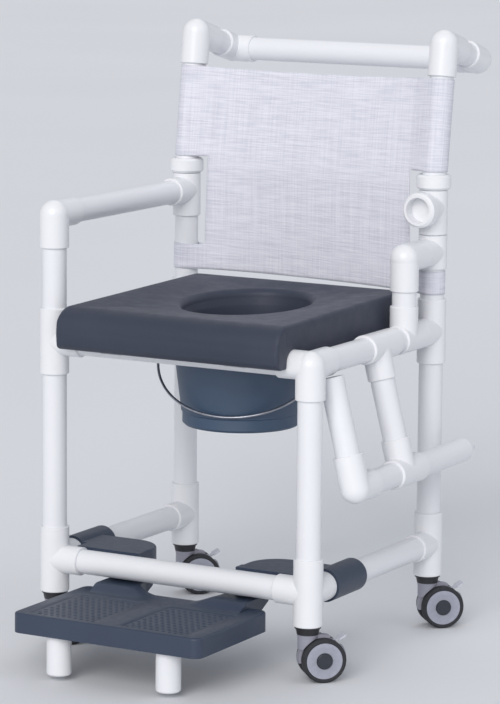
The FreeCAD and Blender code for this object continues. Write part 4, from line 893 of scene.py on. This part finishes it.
def tread_dots():
    """Raised dots in staggered rows on both foot areas: one low dome at every place of the pattern.

    The dome's rings shrink as the cosine of the ring's angle and rise as its sine.
    """
    xs = np.arange(TREAD_X[0] + DOT_MARGIN, TREAD_X[1] - DOT_MARGIN, DOT_PITCH)
    ys = np.arange(TREAD_Y[0] + DOT_MARGIN, TREAD_Y[1] - DOT_MARGIN + 0.002, DOT_ROW)
    gx, gy = np.meshgrid(xs, ys)
    gx = gx + np.where(np.arange(len(ys))[:, None] % 2 == 1, DOT_PITCH / 2, 0.0)
    keep = gx < TREAD_X[1] - DOT_MARGIN + 0.001
    centre = np.stack([gx[keep], gy[keep]], -1)
    centre = np.concatenate([centre, centre * (-1.0, 1.0)])
    angle = np.linspace(0.0, QUARTER, DOT_RINGS)[:, None]
    turn = np.linspace(0.0, TAU, DOT_SIDES, endpoint=False)
    radius = DOT_R * np.cos(angle) + DOT_FLAT
    height = DOT_RISE * np.sin(angle) + 0.0 * turn
    dome = np.stack([radius * np.cos(turn), radius * np.sin(turn), height], -1).reshape(-1, 3)
    base = np.column_stack([centre, np.full(len(centre), TREAD_FLOOR - DOT_SINK)])
    cap = ring_cap(DOT_SIDES)
    one = np.concatenate([grid_quads(DOT_RINGS, DOT_SIDES, wrap_cols=True), cap[:, ::-1],
                          cap + (DOT_RINGS - 1) * DOT_SIDES])
    piece = mesh_piece("tread_dots", base[:, None, :] + dome, repeated(one, len(centre), len(dome)))
    piece.data.materials.append(footrest_plastic)
    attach(piece, "footrest")


footrest_deck()
tread_dots()


# ---------------------------------------------------------------- floor, light and camera
FLOOR_RINGS = np.array([0.0, 1.0, 2.5, 6.0, 15.0, 60.0])
FLOOR_SIDES = 64
FLOOR_Z = -0.0003
WORLD_COLOUR = (0.90, 0.93, 1.0, 1.0)
WORLD_STRENGTH = 0.46
CAMERA_PLACE = (2.908, -5.155, 1.472)
CAMERA_AZIMUTH = 29.54     # degrees, from the front towards the sitter's left
CAMERA_ELEVATION = 9.40
CAMERA_ROLL = math.radians(0.43)
SENSOR_MM = 36.0
LENS_MM = 176.36
LENS_SHIFT = (0.0166, 0.00916)
FAR_CLIP = 200.0


def floor():
    """Round flat floor of rings about the origin, wide enough to fill the view to its edge."""
    turn = np.linspace(0.0, TAU, FLOOR_SIDES, endpoint=False)
    radius = FLOOR_RINGS[:, None]
    points = np.stack([radius * np.cos(turn), radius * np.sin(turn),
                       np.full((len(radius), FLOOR_SIDES), FLOOR_Z)], -1)
    quads = grid_quads(len(radius), FLOOR_SIDES, wrap_cols=True)
    piece = mesh_piece("studio_floor", points, quads.tolist())
    material, tree, shader = finish_material("studio_floor", (0.80, 0.81, 0.83), 0.85)
    soft = spread(tree, noise(tree, object_place(tree), 0.6, 2.0, 0.5), 0.3, 0.7)
    colour = mixed(tree, soft, (0.79, 0.80, 0.82), (0.81, 0.82, 0.84))
    feed(tree, shader.inputs["Base Color"], colour)
    piece.data.materials.append(material)


def direction(azimuth, elevation):
    """Unit vector towards an azimuth, from the front to the sitter's left, and an elevation."""
    a, e = math.radians(azimuth), math.radians(elevation)
    return np.array([math.sin(a) * math.cos(e), -math.cos(a) * math.cos(e), math.sin(e)])


def sun(name, strength, angle, azimuth, elevation, colour):
    """Soft lamp far away, as wide as an angle in degrees, from an azimuth and an elevation."""
    lamp = bpy.data.lights.new(name, "SUN")
    lamp.energy = strength
    lamp.angle = math.radians(angle)
    lamp.color = colour
    placed = bpy.data.objects.new(name, lamp)
    placed.rotation_mode = "QUATERNION"
    towards = Vector(direction(azimuth, elevation))
    placed.rotation_quaternion = Vector((0.0, 0.0, 1.0)).rotation_difference(towards)
    scene.collection.objects.link(placed)


def studio_world():
    """Even pale surroundings."""
    world = bpy.data.worlds.new("studio")
    world.use_nodes = True
    background = world.node_tree.nodes["Background"]
    background.inputs["Color"].default_value = WORLD_COLOUR
    background.inputs["Strength"].default_value = WORLD_STRENGTH
    scene.world = world


def photo_camera():
    """Camera at the photograph's place: its right, up and backward directions make the rotation."""
    azimuth = math.radians(CAMERA_AZIMUTH)
    backward = direction(CAMERA_AZIMUTH, CAMERA_ELEVATION)
    level = np.array([math.cos(azimuth), math.sin(azimuth), 0.0])
    upright = np.cross(backward, level)
    right = level * math.cos(CAMERA_ROLL) + upright * math.sin(CAMERA_ROLL)
    up = upright * math.cos(CAMERA_ROLL) - level * math.sin(CAMERA_ROLL)
    lens = bpy.data.cameras.new("photo_camera")
    lens.sensor_fit = "AUTO"
    lens.sensor_width = SENSOR_MM
    lens.lens = LENS_MM
    lens.shift_x, lens.shift_y = LENS_SHIFT
    lens.clip_end = FAR_CLIP
    placed = bpy.data.objects.new("photo_camera", lens)
    rotation = Matrix(np.column_stack([right, up, backward]).tolist())
    placed.matrix_world = Matrix.Translation(CAMERA_PLACE) @ rotation.to_4x4()
    scene.collection.objects.link(placed)
    scene.camera = placed


floor()
studio_world()
sun("key", strength=1.75, angle=40.0, azimuth=12.0, elevation=28.0, colour=(1.0, 0.99, 0.98))
sun("fill", strength=0.30, angle=60.0, azimuth=75.0, elevation=35.0, colour=(0.93, 0.95, 1.0))
sun("back", strength=0.30, angle=40.0, azimuth=200.0, elevation=55.0, colour=(0.95, 0.97, 1.0))
photo_camera()
scene.view_settings.view_transform = "Standard"
